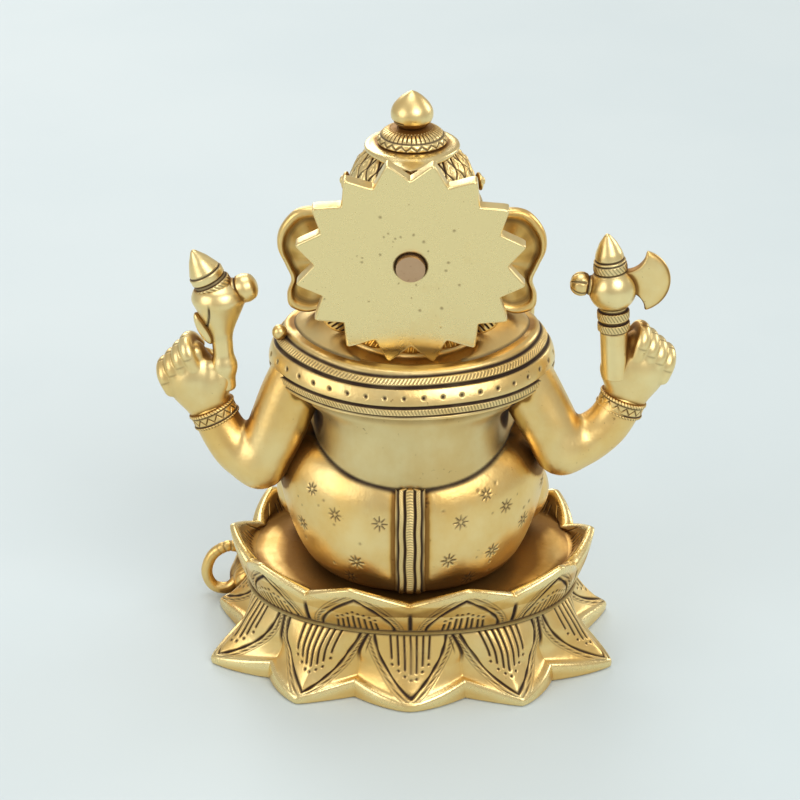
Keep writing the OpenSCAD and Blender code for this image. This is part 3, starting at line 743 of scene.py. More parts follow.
def upper_tier(size):
    """The upper petals: upright, open at the top, with the seat inside them."""
    p, sharp = petal_turns(0.0008, 0.028, 0.9)
    rx, ry, seam = size.upper_reach_x / MM, size.upper_reach_y / MM, size.seam_z / MM
    deck, tip = size.deck_z / MM, size.upper_tip_z / MM
    notch = deck + 0.9
    rows = [
        ("waist", 0.3, seam), ("waist", 0.985, seam), ("waist", 1.015, seam + 1.2),
        ("petal", rx - 2.5, ry - 2, 0.97, seam + 9, seam + 7),
        ("petal", rx, ry, 0.94, tip - 1.8, notch - 1.6),
        ("petal", rx - 0.6, ry - 0.6, 0.93, tip, notch),
        ("petal", rx - 2.4, ry - 2.2, 0.92, tip - 0.3, notch + 0.2),
        ("petal", rx - 5, ry - 4.8, 0.93, tip - 4, notch - 0.6),
        ("waist", 0.97, deck), ("waist", 0.8, deck), ("waist", 0.1, deck),
    ]
    waist = (size.waist_x / MM, size.waist_y / MM)
    rings = petal_rings(rows, 360 * (p + 0.5) / PETALS, sharp, waist, 0.97)
    lead, face, lip, well = 6, 62, 14, 30
    grid = respaced(rings, [(1, 3), (2, 3), (4, face), (6, lip), (8, well), (10, 14)], STEPS // 2)
    across, down, half = petal_places(grid[lead:])
    shell = down[face]
    depth = petal_work(across, down, at_tips(shell) - 2.6, half[2:3], 0.7, 2.1, 8, 2.05, 0.52, 9)
    valley = half - np.abs(across)
    depth = np.maximum(depth, 0.66 * groove(valley, 0.9) * smooth_step(shell * 0.95, shell * 0.6, down))
    depth *= (down < shell - 1.3) & (down > 0.25)
    inward = down - down[face + lip]
    inner = down[face + lip + well] - down[face + lip]
    t = np.clip(inward / np.maximum(inner, 1), 0, 1)
    rim = half * (0.35 + 0.5 * t)
    lines = 0.36 * groove(np.abs(across) - rim, 0.45) * smooth_step(0.08, 0.2, t)
    for k in range(-2, 3):
        lines = np.maximum(lines, 0.36 * groove(across - 2.1 * k, 0.4)
                           * smooth_step(0.28 + 0.06 * abs(k), 0.34 + 0.06 * abs(k), t))
    lines *= (inward > 1.2) & (t < 0.82)
    depth = np.maximum(depth, lines)
    form = skin(grid).engrave(on_rows(grid, lead, depth))
    # A dark line at the seam between the tiers, and painted shade at the foot of the inner walls between the
    # petals.
    foot = 0.35 * (t > 0.8) * (t < 1) * smooth_step(3.2, 0.4, valley)
    shade_and_patina = np.maximum(0.85 * smooth_step(1.0, 0.1, down), foot)
    form.patina = np.maximum(form.patina, on_rows(grid, lead, shade_and_patina))
    # Painted highlight along the rims of the petals.
    edge = smooth_step(shell - 2.5, shell - 0.3, down) * (inward < 1.5)
    form.bright = on_rows(grid, lead, edge)
    x, y, z = form.points.T
    # Painted shade on the seat under the figure, and lighter painted shade over the low inside of the cup.
    ring = np.hypot(x / 36.5, (y - 4) / 33.5)
    seat = z > deck - 3
    form.shade_and_soil = 0.9 * smooth_step(1.38, 1.0, ring) * seat + 0.35 * seat * (z < deck + 1.5)
    return form


# ---- body ----

# Levels of the body's forms: height, middle x, middle y, half width, half depth.
HIPS = [
    [37.6, 0, 4, 27.5, 25.5], [40.5, 0, 4, 35.5, 32.5], [46, 0, 3.5, 40, 36], [56, 0, 3, 44, 37.5],
    [66, 0, 2, 46.5, 37.5], [75, 0, 2, 47, 35.5], [82, 0, 1, 44.5, 32.5], [86, 0, 0, 40.5, 28.5],
    [87, 0, 0, 36, 24],
]
TORSO = [
    [68, 0, 3, 30, 24], [73, 0, 3, 35, 29], [80, 0, 3, 36, 32], [88, 0, 2.5, 34, 34], [97, 0, 2, 33.5, 34.5],
    [102, 0, 2, 36, 34.5], [106, 0, 2, 42, 34.5], [111, 0, 2, 46, 34], [117, 0, 2, 46.5, 32],
    [123, 0, 1, 44, 28], [129, 0, -2, 38, 22], [133, 0, -4, 29, 15], [134.5, 0, -5, 20, 9],
]
HEAD = [
    [124, 0, -3, 15, 11], [128, 0, -5, 20.5, 16], [134, 0, -6.5, 24.5, 20.5], [142, 0, -7.5, 27, 23.5],
    [151, 0, -7.5, 27.5, 24.8], [160, 0, -6, 26.5, 24.5], [168, 0, -3, 23.5, 22.2],
]
NECK = [[116, 0, -3, 27, 20], [122, 0, -4, 24, 17], [128, 0, -5, 22, 16.5], [134, 0, -6, 20, 15]]
BELLY = ((0, -12, 86), (37.5, 34, 27))


def punched_star(x, y, reach):
    """Eight short punched rays round a bare middle."""
    r, a = np.hypot(x, y), np.arctan2(y, x)
    ray = np.abs((a / (np.pi / 4) + 0.5) % 1 - 0.5) * (np.pi / 4) * r
    thin = 0.46 - 0.1 * r
    rays = np.clip(1.2 - ray / np.maximum(thin, 0.12), 0, 1)
    return rays * smooth_step(0.45, 0.85, r) * smooth_step(reach, reach - 0.5, r)


# Where the stars are punched: degrees round from the left side, and height.
STARS = [
    (112, 68), (108, 54), (131, 54), (121, 44.5), (135, 70), (124, 76), (56, 68.5), (77, 68), (64, 52),
    (58, 44.5), (150, 61), (33, 60), (168, 70), (12, 71), (178, 54), (2, 56), (95, 75.5), (43, 75),
]


def hips():
    """The hips in a cloth punched with stars and pits, drawn in along the pleat."""
    fine = curve(HIPS, 16)
    z = np.linspace(HIPS[0][0], HIPS[-1][0], 128)
    a = around(660)
    col = [np.interp(z, fine[:, 0], fine[:, k])[:, None] for k in range(5)]
    swell = 1 - 0.035 * np.exp(-((a - np.pi / 2) / 0.14) ** 2) * smooth_step(41, 50, z)[:, None]
    grid = np.stack([col[1] + col[3] * np.cos(a) * swell, col[2] + col[4] * np.sin(a) * swell,
                     np.repeat(z[:, None], len(a), 1)], -1)
    turn = np.degrees(a)[None]
    depth = np.zeros(grid.shape[:2])
    for t, h in STARS:
        at = math.radians(t)
        wide = math.radians(1) * np.hypot(col[3] * math.sin(at), col[4] * math.cos(at))
        x = ((turn - t + 180) % 360 - 180) * wide
        depth = np.maximum(depth, 0.4 * punched_star(x, z[:, None] - h, 3.0 if h < 72 else 2.5))
    rng = np.random.default_rng(21)
    for _ in range(22):
        t = rng.choice([rng.normal(137, 12), rng.normal(122, 20), rng.normal(52, 12)])
        h = rng.uniform(42, 82)
        x = ((turn - t + 180) % 360 - 180) * 0.75
        pit = np.clip(1.2 - np.hypot(x, z[:, None] - h) / rng.uniform(0.35, 0.75), 0, 1)
        depth = np.maximum(depth, 0.22 * pit)
    form = skin(grid)
    patina = depth / 0.42
    # Darker towards the bottom, over the back half, in five soft lobes.
    foot = smooth_step(48.5, 39.5, z)[:, None] * (0.62 + 0.38 * np.sin(a * 5 + 1) ** 2)
    foot = foot * smooth_step(-0.3, 0.4, np.sin(a))
    form.engrave(tail(depth), tail(np.maximum(patina, 0.55 * foot ** 1.6)))
    form.shade_and_soil = tail(foot * 0.9)
    waist = meeting(form, stack(TORSO, 8, 120), 1.5) * (form.points[:, 1] > -8) * (form.points[:, 2] > 76)
    form.patina = np.maximum(form.patina, 0.95 * waist)
    return form


def pleat(width):
    """Three narrow strips down the back of the cloth, hatched, with dark lines between."""
    z = np.linspace(40.6, 80.5, 250)
    half = width / 2
    x = np.linspace(-half, half, 68)
    out = 2.0 * (1 - np.abs(x / half) ** 9)
    back = level(HIPS, z, 2) + level(HIPS, z, 4) - 0.15
    front = np.stack([np.repeat(x[None], len(z), 0), back[:, None] + out[None],
                      np.repeat(z[:, None], len(x), 1)], -1)
    behind = front[:, ::-1][:, 1:-1].copy()
    behind[..., 1] = back[:, None] - 3.4
    grid = np.concatenate([front, behind], 1)
    full = np.zeros(grid.shape[:2])
    zz = z[:, None]
    lines = np.zeros(front.shape[:2])
    for at, wide in ((-half + 0.9, 0.75), (-1.75, 0.6), (1.75, 0.6), (half - 0.9, 0.75)):
        lines = np.maximum(lines, 0.85 * groove(x[None] - at - 0.12 * np.sin(zz * 0.5), wide))
    ribs = np.clip(np.sin(2 * np.pi * (zz + 0.25 * np.abs(x)) / 0.95) * 1.6, 0, 1)
    fine = np.clip(np.sin(2 * np.pi * (zz - 0.9 * np.abs(x)) / 0.8) * 1.6, 0, 1)
    middle = (np.abs(x) < 1.35)[None]
    outer = ((np.abs(x) > 2.1) & (np.abs(x) < half - 1.3))[None]
    full[:, :len(x)] = np.maximum(lines, 0.2 * ribs * middle + 0.17 * fine * outer)
    form = skin(grid)
    patina = np.zeros_like(full)
    patina[:, :len(x)] = np.maximum(np.clip(lines / 0.6, 0, 1), 0.42 * ribs * middle + 0.36 * fine * outer)
    return form.engrave(tail(full), tail(patina))


def torso(halo):
    """The back, chest and belly, cut away where the halo turns; gives the clay too, for what lies on it."""
    clay = Clay((-50, -50, 66), (50, 40, 137), 0.55)
    clay.add(stack(TORSO, 8, 120))
    clay.add(stack(NECK, 8, 96), 7.0)
    clay.add(ball(BELLY[0], BELLY[1], 48, 96), 3.0)
    for side in (-1, 1):
        clay.add(ball((side * 17, -24, 110), (14, 9, 9), 20, 40), 4.0)
        clay.cut(ball((side * 17.5, -34.5, 109.5), 0.9), 0.4)
    clay.cut(ball((0, -46.4, 85), (2.0, 1.6, 2.8)), 1.0)
    near, tips = -halo.back - 0.9, halo.tip + 0.7
    way = lathe([[0, near], [tips, near], [tips, halo.back + 0.6], [tips - 3.4, 12], [tips - 4.4, 24],
                 [0, 24]], 120, 120)
    clay.cut(into_halo(way, halo), 0.6)
    form = clay.form(2)
    x, y, z = form.points.T
    spine = np.exp(-(x / 2.2) ** 2) * (y > 0) * smooth_step(100, 94, z) * smooth_step(76, 84, z)
    form.engrave(0.5 * spine, np.zeros(len(spine)))
    # Painted shadow in a band under the shawl, and darker towards the bottom of the back.
    under = (y > 10) * smooth_step(104, 107, z) * smooth_step(112, 108, z)
    low = (y > 5) * smooth_step(80, 75, z)
    form.patina = np.maximum(form.patina, np.maximum(0.3 * under, 0.3 * low))
    waist = meeting(form, stack(HIPS, 8, 120), 1.3) * (y > -8) * (z > 76)
    edge = meeting(form, shawl(3.0), 0.9) * (y > -8)
    arms = [limb(way, steps=6, sides=32, up=(0.02, 1, 0.02)) for way in (LEFT_UPPER, RIGHT_UPPER)]
    close = np.maximum(meeting(form, arms[0], 6.2), meeting(form, arms[1], 5.6))
    # Painted shade in the armpits, where the rear arms come close to the body.
    pits = np.clip(2.4 * close, 0, 1) * smooth_step(114, 106, z) * smooth_step(86, 96, z)
    form.patina = np.maximum.reduce([form.patina, 0.95 * waist, 0.75 * edge, 0.9 * pits])
    form.shade_and_soil = 0.8 * pits
    return form, clay


def front_of_body(clay, x, z):
    """How far forward the body reaches at x and z."""
    x, z = np.broadcast_arrays(np.asarray(x, float), np.asarray(z, float))
    y = np.arange(-49, 5, 0.25)
    spots = np.stack([np.repeat(x.reshape(-1, 1), len(y), 1), np.repeat(y[None], x.size, 0),
                      np.repeat(z.reshape(-1, 1), len(y), 1)], -1)
    apart = sample(clay.field, clay.low, clay.grain, spots.reshape(-1, 3)).reshape(-1, len(y))
    return y[np.argmax(apart < 0, axis=1)].reshape(x.shape)


def necklace(clay):
    """Two strings of beads with a pendant, and a thread from the left shoulder to the right hip."""
    beads = []
    for drop, size, count in ((12, 1.35, 31), (19.5, 1.65, 37)):
        for t in np.linspace(-1, 1, count):
            x, z = 23 * t, 121.5 - drop * (1 - t * t)
            beads.append(ball((x, float(front_of_body(clay, x, z)) - size * 0.3, z), size, 8, 12))
    x = np.linspace(26, -34, 40)
    z = np.interp(x, [-34, -20, 0, 20, 26], [86, 82, 92, 112, 119])
    way = np.column_stack([x, front_of_body(clay, x, z) - 0.15, z, np.full(len(x), 0.95)])
    thread = limb(way, steps=3, sides=14, up=(0, 1, 0.3))
    y = float(front_of_body(clay, 0, 100.5))
    drop = ball((0, y - 1.2, 99), (3.3, 1.8, 4.0), 20, 32)
    return joined(beads + [thread, drop])


def shawl(thick):
    """A band over both shoulders: three strips with dark lines between them."""
    turn = np.radians(np.linspace(-121.6, 121.6, 900))
    lift = np.sin(np.minimum(np.pi / 2, np.abs(turn))) ** 2
    low, high = 108.4 + 1.2 * lift, 123.6 + 3.4 * lift
    wide, corner = 16.0, 1.3
    s = np.concatenate([np.zeros(4), np.linspace(0, 0.5, 6) ** 2 * 0.32, np.linspace(0.09, 0.91, 78),
                        1 - (np.linspace(0.5, 0, 6) ** 2 * 0.32), np.ones(4), np.linspace(0.95, 0.05, 12)])
    out = np.concatenate([np.linspace(-1.4, thick - corner - 0.1, 4),
                          thick - corner * (1 - np.sqrt(np.clip(1 - (1 - np.linspace(0, 1, 6)) ** 2, 0, 1))),
                          np.full(78, thick),
                          thick - corner * (1 - np.sqrt(np.clip(1 - np.linspace(0, 1, 6) ** 2, 0, 1))),
                          np.linspace(thick - corner - 0.1, -1.4, 4), np.full(12, -1.4)])
    z = low[:, None] + (high - low)[:, None] * s[None]
    fine = curve(TORSO, 16)
    w = np.interp(z, fine[:, 0], fine[:, 3]) + out
    d = np.interp(z, fine[:, 0], fine[:, 4]) + out
    c = np.interp(z, fine[:, 0], fine[:, 2])
    grid = np.stack([-w * np.sin(turn)[:, None], c + d * np.cos(turn)[:, None], z], -1)
    run = distance_along(grid[:, 40])[:, None]
    across = (s * wide)[None] + 0.25 * np.sin(run * 0.11)
    face = (out > thick - 0.05)[None]
    depth = 0.75 * np.maximum(groove(across - 4.6, 0.72), groove(across - 11.3, 0.72))
    depth = np.maximum(depth, 0.55 * np.maximum(groove(across - 1.5, 0.45), groove(across - 14.4, 0.62)))
    depth = np.maximum(depth, 0.46 * dots(across - 7.9, run, 6.6, 0.85))
    dash = np.clip(np.sin(2 * np.pi * (run + 0.5 * across) / 1.15) * 1.8, 0, 1)
    tick = np.clip(np.sin(2 * np.pi * (run - 0.8 * across) / 1.35) * 1.8, 0, 1)
    depth = np.maximum(depth, 0.2 * dash * ((across > 2.1) & (across < 3.8)))
    depth = np.maximum(depth, 0.22 * tick * ((across > 12.1) & (across < 13.6)))
    depth = depth * face * smooth_step(0, 2.5, run) * smooth_step(run[-1], run[-1] - 2.5, run)
    fold = 0.5 * np.sin(run * 0.19 + 0.6) * np.exp(-((across - 8) / 5) ** 2) * face * 0.5
    form = skin(grid)
    return form.engrave(tail(depth + fold * 0.6), tail(np.clip(depth / 0.42, 0, 1)))


def shoulder_knots():
    """The rolled ends of the shawl in front of the shoulders, and a small knob behind the left one."""
    forms = []
    for side in (-1, 1):
        for k, (lift, size) in enumerate(((0, 2.6), (4.6, 2.5), (9.0, 2.4), (13.2, 2.1))):
            way = [[side * 39.5, -17.5 + 0.4 * k, 109.5 + lift, size * 0.8],
                   [side * 38.2, -20.6, 110.2 + lift, size],
                   [side * 35.5, -22.2 + 0.3 * k, 110.8 + lift, size * 0.7]]
            forms.append(limb(way, steps=8, sides=28, up=(0, 0.1, 1)))
    return joined(forms + [ball((45.5, 8, 126.5), (2.6, 2.6, 2.8), 16, 24)])


LEG = [[24, -2, 54, 15], [30, -10, 54, 14.6], [36, -17, 53, 13.6]]


def to_side(side, way):
    """A way of [x, y, z, radius], turned over to the left side, 1, or the right, -1."""
    return [[side * x, y, z, r] for x, y, z, r in way]


def leg(side):
    """A folded leg in a draped cloth, with an anklet and a bare foot."""
    low = (-48, -47, 38.05) if side > 0 else (-52, -47, 38.05)
    clay = Clay(low, (52, 8, 71), 0.5)
    clay.add(limb(to_side(side, LEG), steps=10, sides=64))
    shin = [[35.2, -17.6, 52.3, 12.2], [31, -26, 50, 10.6], [19, -31, 48.5 - side, 9],
            [4, -32.5, 47 - 2 * side, 7], [-7, -32.5, 45 - side, 6.2]]
    clay.add(limb(to_side(side, shin), steps=10, sides=64), 2.5)
    foot = [[-9, -32.4, 45 - side, 5.3], [-15.5, -33, 44.3 - side, 4.9], [-21.5, -32.4, 43.4, 3.9]]
    clay.add(limb(to_side(side, foot), steps=8, sides=48, flat=0.85), 1.6)
    for k in range(5):
        spread = (k - 1.7) * 1.75
        toe = [[side * (-20.5 + 0.3 * k), -33.0 - 0.2 * k, 43.4 + spread, 1.6 - 0.09 * k],
               [side * (-25.2 + 0.95 * k), -33.6 + 0.1 * k, 43.2 + spread * 1.05, 1.75 - 0.17 * k]]
        clay.add(limb(toe, steps=4, sides=20), 0.5)
    form = clay.form(1)
    x, y, z = form.points.T
    run = side * x
    fold = 0.32 * np.sin((z * 1.25 - 0.34 * run + 0.012 * run ** 2) * 1.05)
    fold = fold * smooth_step(-6, 2, run) * smooth_step(46, 24, run)
    hem = np.maximum(groove(run + 3.2, 0.55), groove(run + 6.6, 0.55)) * 0.5 * (y < -22)
    band = np.clip(np.sin(2 * np.pi * (z + 0.4 * y) / 1.3) * 1.7, 0, 1)
    band = band * (run > -6) * (run < -3.8) * 0.2 * (y < -22)
    form.engrave(fold + hem + band, np.clip(0.28 * np.clip(fold, 0, 1) / 0.32 + hem / 0.4 + band * 2, 0, 1))
    return form


def nape_hair(halo):
    """The locks that show under the halo: scalloped ends with combed strokes."""
    a = np.radians(np.linspace(33, 147, 520))
    reach = np.full(len(a), 30.0)
    for t in (-45, -22.5, 0, 22.5, 45):
        cx, cy = 31 * math.cos(math.radians(90 + t)), 31 * math.sin(math.radians(90 + t))
        b = cx * np.cos(a) + cy * np.sin(a)
        root = b * b - (cx * cx + cy * cy - 9.15 ** 2)
        reach = np.maximum(reach, np.where(root > 0, b + np.sqrt(np.maximum(root, 0)), 0))
    inner = 16.2 / np.sin(a)
    t = np.linspace(0, 1, 90)
    top, thick = -halo.back - 0.62, 2.5
    r = inner[None] + (reach - 0.15 - inner)[None] * t[:, None]
    rise = top - 0.9 * smooth_step(0.93, 1.0, t)[:, None]
    face = np.stack([r * np.cos(a), r * np.sin(a), np.repeat(rise, len(a), 1)], -1)
    under = face[::-1][::6].copy()
    under[..., 2] = top - thick
    loop = np.concatenate([face, under], 0).transpose(1, 0, 2)
    form = skin(loop)
    out = r - 24
    lock = (np.degrees(a)[None] - 90 + 11.25) / 22.5
    middle = (lock - np.floor(lock) - 0.5) * 22.5 * np.pi / 180 * r
    strand = 0.42 * np.clip(np.cos(2 * np.pi * middle / 1.75 + 0.02 * out ** 2) * 1.6 - 0.3, 0, 1)
    ring = 0.45 * groove(np.hypot(middle, r - 31) - 8.5, 0.5) * (r > 30)
    depth = np.zeros(loop.shape[:2])
    depth[:, :90] = np.maximum(strand, ring).T * (t < 0.93)
    form.engrave(tail(depth), tail(np.clip(depth / 0.3, 0, 1)))
    return into_halo(form, halo)


# ---- head ----

def head():
    clay = Clay((-32, -36, 122), (32, 22, 171), 0.45)
    clay.add(stack(HEAD, 8, 120))
    for side in (-1, 1):
        clay.add(ball((side * 11, -19, 156), (12, 11, 12), 40, 80), 3.0)
        clay.add(ball((side * 16.5, -24, 139), (7.5, 7, 8.5), 30, 60), 3.0)
        clay.cut(ball((side * 14.6, -31.5, 148.6), (5.2, 3.2, 3.4), 30, 60), 1.4)
        clay.add(ball((side * 14.2, -28.2, 148.6), (3.9, 3.1, 2.9), 30, 60), 0.25)
        for lift, droop in ((2.5, -0.6), (-2.3, 0.5)):
            lid = [[side * 9.2, -30.2, 147.8, 0.7], [side * 12.2, -31.0, 148.6 + lift, 0.95],
                   [side * 16.4, -29.4, 148.6 + lift * 0.95, 0.95], [side * 19.4, -26.2, 148.2 + droop, 0.6]]
            clay.add(limb(lid, steps=8, sides=20), 0.5)
        brow = [[6.4, -31.4, 154.4, 0.8], [11, -31.6, 157.0, 1.15], [16.5, -29.3, 156.8, 1.0],
                [21.5, -25.0, 153.2, 0.5]]
        clay.add(limb(to_side(side, brow), steps=8, sides=20), 0.9)
    clay.add(ball((0, -24.5, 127.5), (7.5, 7, 4.4), 30, 60), 2.0)
    clay.add(ball((0, -29.6, 160.5), (1.9, 2.4, 3.2), 20, 40), 0.4)
    form = clay.form(1)
    x, y, z = form.points.T
    eye = np.hypot(np.abs(x) - 14.3, z - 148.4)
    pupil = np.clip(1.2 - eye / 0.95, 0, 1) * (y < -27)
    iris = groove(eye - 2.0, 0.42) * (y < -27)
    form.engrave(0.4 * np.maximum(pupil, iris))
    return form


TRUNK = [[0, -27, 150, 12], [0, -33, 138, 10.8], [2, -39, 124, 9.2], [8, -43.5, 111, 7.6],
         [17, -45, 103.5, 6.2], [24.5, -44, 105, 5.1], [29, -42.5, 109.5, 4.2]]


def trunk():
    """The trunk, with folds across it that fade towards its front, and two nostrils."""
    grid = limb_grid(TRUNK, steps=46, sides=220, up=(1, 0.03, 0))
    run = distance_along(grid.mean(1))[:, None]
    a = around(grid.shape[1])[None]
    front = smooth_step(-0.2, 0.55, -grid_front(grid))
    wave = (run - 2.0 * (1 - np.cos(a)) * 0.5) % 3.9 - 1.95
    ends = smooth_step(14, 22, run) * smooth_step(run[-1] - 3, run[-1] - 7, run)
    depth = 0.42 * groove(wave, 0.62) * (1 - 0.55 * front) * ends
    depth = depth + 0.1 * np.cos(2 * np.pi * run / 3.9) * (1 - front)
    nose = groove(run - run[-1] + 5.2, 0.7) * 0.5
    form = skin(grid)
    form.engrave(tail(np.maximum(depth, nose)), tail(np.clip(np.maximum(depth, nose) / 0.5, 0, 0.9)))
    end, d = grid[-1].mean(0), unit(grid[-1].mean(0) - grid[-14].mean(0))
    side = unit(np.cross(d, (0, 1, 0)))
    for k in (-1, 1):
        near = np.linalg.norm(form.points - (end + side * 1.5 * k), axis=1)
        form.engrave(0.9 * np.clip(1.2 - near / 1.1, 0, 1))
    return form


def grid_front(grid):
    """1 where a row's point faces the front of the statue, and -1 behind."""
    out = grid - grid.mean(1, keepdims=True)
    return out[..., 1] / np.maximum(np.linalg.norm(out, axis=2), 1e-9)


def tusk(side, length):
    """A tusk with two rings at its root; length is 1 for a whole one and less for a broken one."""
    way = [[side * 11, -24, 137.6, 4.2], [side * 14.5, -33, 131.5, 3.6],
           [side * 16.0, -33 - 7 * length, 131.5 - 4 * length, 3.6 - 1.6 * length]]
    form = limb(way, steps=16, sides=64)
    aim = unit(np.array(way[1][:3]) - np.array(way[0][:3]))
    for k in (0.0, 1.5):
        ring = lathe([[0, -0.7], [4.3, -0.7], [4.75, 0], [4.3, 0.7], [0, 0.7]], 72, 26)
        form = form.with_(ring.placed(np.array(way[1][:3]) - aim * (1.2 + k), aim))
    return form


EAR = [[20, 161.5], [25.5, 166.5], [32, 170.5], [39.5, 169.5], [45, 163], [46, 156], [43.5, 149.5],
       [41.5, 144], [43, 138.5], [42, 133.5], [36, 131.5], [30, 134], [25, 140], [21, 150]]


# From the rim to the middle: how far out each ring lies, and its share of half the thickness.
EAR_SHARE = [1, 0.995, 0.98, 0.955, 0.93, 0.9, 0.87, 0.84, 0.81, 0.78, 0.74, 0.68, 0.6, 0.5, 0.4, 0.28,
             0.15, 0.05]
EAR_HALF = [0.0, 0.35, 0.7, 0.92, 1.0, 0.97, 0.86, 0.68, 0.55, 0.48, 0.45, 0.46, 0.5, 0.56, 0.62, 0.68,
            0.72, 0.74]


def ear(side, thick):
    """A fan-shaped ear with a rolled rim and shallow folds running out from its root."""
    edge = curve(EAR + [EAR[0]], 24)[:-1]
    middle = np.array([29.0, 151.5])
    fine = np.linspace(0, 1, 74)
    share, half = (np.interp(fine, np.linspace(0, 1, len(v)), v) for v in (EAR_SHARE, EAR_HALF))
    half = half * thick / 2
    xz = middle + (edge - middle)[None] * share[:, None, None]
    way = np.arctan2(edge[:, 1] - middle[1], edge[:, 0] - middle[0])[None]
    fold = 0.3 * np.sin(way * 11) * (smooth_step(0.15, 0.4, share) * smooth_step(0.82, 0.7, share))[:, None]
    faces = []
    for face in (1, -1):
        y = 1.5 + face * (half[:, None] + (fold if face < 0 else -fold * 0.6)) * 0.98
        faces.append(np.stack([side * xz[..., 0], y, xz[..., 1]], -1))
    grid = np.concatenate([faces[0][::-1], faces[1][1:]], 0)
    form = skin(grid)
    shade = np.clip(0.42 * groove(share - 0.79, 0.055), 0, 1)[:, None] + 0.5 * np.clip(-fold, 0, 1)
    form.patina = tail(np.concatenate([shade[::-1], shade[1:]], 0))
    return form


# ---- crown ----

def leaves(along, angle, radius, row, count):
    """Rows of overlapping leaves with a middle vein and slanting strokes."""
    k = np.floor(along / row)
    up = along / row - k
    turn = angle / (2 * np.pi) * count + 0.5 * (k % 2)
    across = (turn - np.round(turn)) * 2
    wide = np.maximum(radius, 1) * np.pi / count
    edge = (1 - up ** 1.7)
    outline = groove((np.abs(across) - 0.94 * edge) * wide * 0.8, 0.5)
    vein = groove(across * wide, 0.32) * (up < 0.78)
    strokes = np.clip(np.cos(2 * np.pi * (up * row + 0.9 * np.abs(across) * wide) / 1.45) * 1.6 - 0.5, 0, 1)
    inside = np.abs(across) < 0.9 * edge
    swell = -0.28 * np.clip(1 - (across / np.maximum(edge, 0.15)) ** 2, 0, 1) * inside
    return np.maximum(0.5 * outline, np.maximum(0.3 * vein, 0.2 * strokes) * inside) + swell


def crown(size):
    """The dome of leaves over a beaded band, with jewels round its front."""
    z0, r, top = size.crown_z / MM, size.crown_r / MM, size.crown_top_z / MM
    collar = size.collar_r / MM
    profile = [
        [0, z0], [r - 0.9, z0], [r, z0 + 0.8], [r, z0 + 4], [r - 1.4, z0 + 5], [r - 1.7, z0 + 8],
        [r - 3, z0 + 13], [r - 5, z0 + 18], [r - 8.5, top - 2.6], [collar + 2.4, top - 1.6],
        [collar + 2.6, top - 0.2], [0, top],
    ]
    grid, along, angle, radius = lathe_grid(profile, 760, 190)
    z = grid[..., 2] - z0
    outer = (along > r - 0.4) & (along < along[-1, 0] - collar - 2.2)
    band = (z > 0.5) & (z < 4.3)
    depth = leaves(z - 5.3, angle, radius, 4.6, 22) * ((z > 5.3) & (z < 22.2))
    bead = 0.45 * dots(z - 2.4, angle * r, 2 * np.pi * r / 56, 0.95)
    line = 0.35 * np.maximum(groove(z - 0.9, 0.35), groove(z - 3.8, 0.35))
    depth = np.where(band, np.maximum(bead, line), depth) * outer
    form = skin(grid)
    form.engrave(tail(depth), tail(np.clip(depth / 0.36, 0, 1) * outer))
    form.placed((0, size.crown_y / MM, 0))
    jewels = []
    for t in np.radians([-90, -128, -52, -166, -14]):
        spot = ((r - 0.4) * math.cos(t), size.crown_y / MM + (r - 0.4) * math.sin(t), z0 + 8.6)
        wide = 3.6 if abs(t + np.pi / 2) < 0.1 else 2.6
        aim = (math.cos(t), math.sin(t), 0.12)
        jewels.append(ball((0, 0, 0), (wide * 1.25, wide, 1.3), 24, 48).placed(spot, aim))
        jewels.append(ball((0, 0, 0.9), (wide * 0.62, wide * 0.5, 1.1), 16, 32).placed(spot, aim))
    return form.with_(*jewels)


def collar(size):
    """The rayed collar, on a polished rim that runs out to a point at the back."""
    z0, r, tip = size.crown_top_z / MM, size.collar_r / MM, size.finial_r / MM
    middle = size.crown_y / MM
    profile = [[0, z0], [r - 1.4, z0], [r - 0.2, z0 + 1.0], [r, z0 + 1.9], [r - 0.3, z0 + 3.0],
               [r - 1.0, z0 + 4.0], [r - 2.4, z0 + 5.3], [tip - 1.0, z0 + 6.6], [tip - 2.2, z0 + 7],
               [0, z0 + 7]]

    def cut(along, angle, radius, z):
        up = z - z0
        ray = np.clip(np.cos(angle * 40) * 1.7 - 0.6, 0, 1) * ((up > 4.4) & (up < 6.2)) * 0.34
        zig = np.abs((angle * 20 / (2 * np.pi)) % 1 - 0.5) * 2
        wave = groove(up - 2.0 - 1.5 * zig, 0.5) * ((up > 1.5) & (up < 4.1)) * 0.36
        line = 0.4 * np.maximum(groove(up - 4.15, 0.36), groove(up - 1.3, 0.3))
        hatch = np.clip(np.cos(angle * 64) * 1.5 - 0.4, 0, 1) * ((up > 0.4) & (up < 1.2)) * 0.2
        return np.maximum.reduce([ray, wave, line, hatch]) * (radius > tip - 1.5)

    form = lathe(profile, 560, 84, cut).placed((0, middle, 0))
    clay = Clay((-19, -20, z0 - 4), (19, 26, z0 + 6), 0.36)
    disc = [[0, -1.8], [r + 3, -1.8], [r + 4.6, -0.6], [r + 4.2, 0.9], [r + 1.5, 0.7], [0, 0.4]]
    clay.add(lathe(disc, 96, 60).placed((0, middle, z0)))
    beak = [[0, 2, z0 - 0.6, 14], [0, 9, z0 - 0.7, 11.5], [0, 16, z0 - 0.6, 6.4], [0, 21, z0 - 0.2, 2.4],
            [0, 23.2, z0, 1.1]]
    clay.add(limb(beak, steps=10, sides=64, up=(0, 0.02, 1), flat=0.17), 1.2)
    rim = clay.form(2)
    rim.patina *= 0.6
    # Painted highlight on the rim.
    rim.bright += 0.6
    return form.with_(rim)


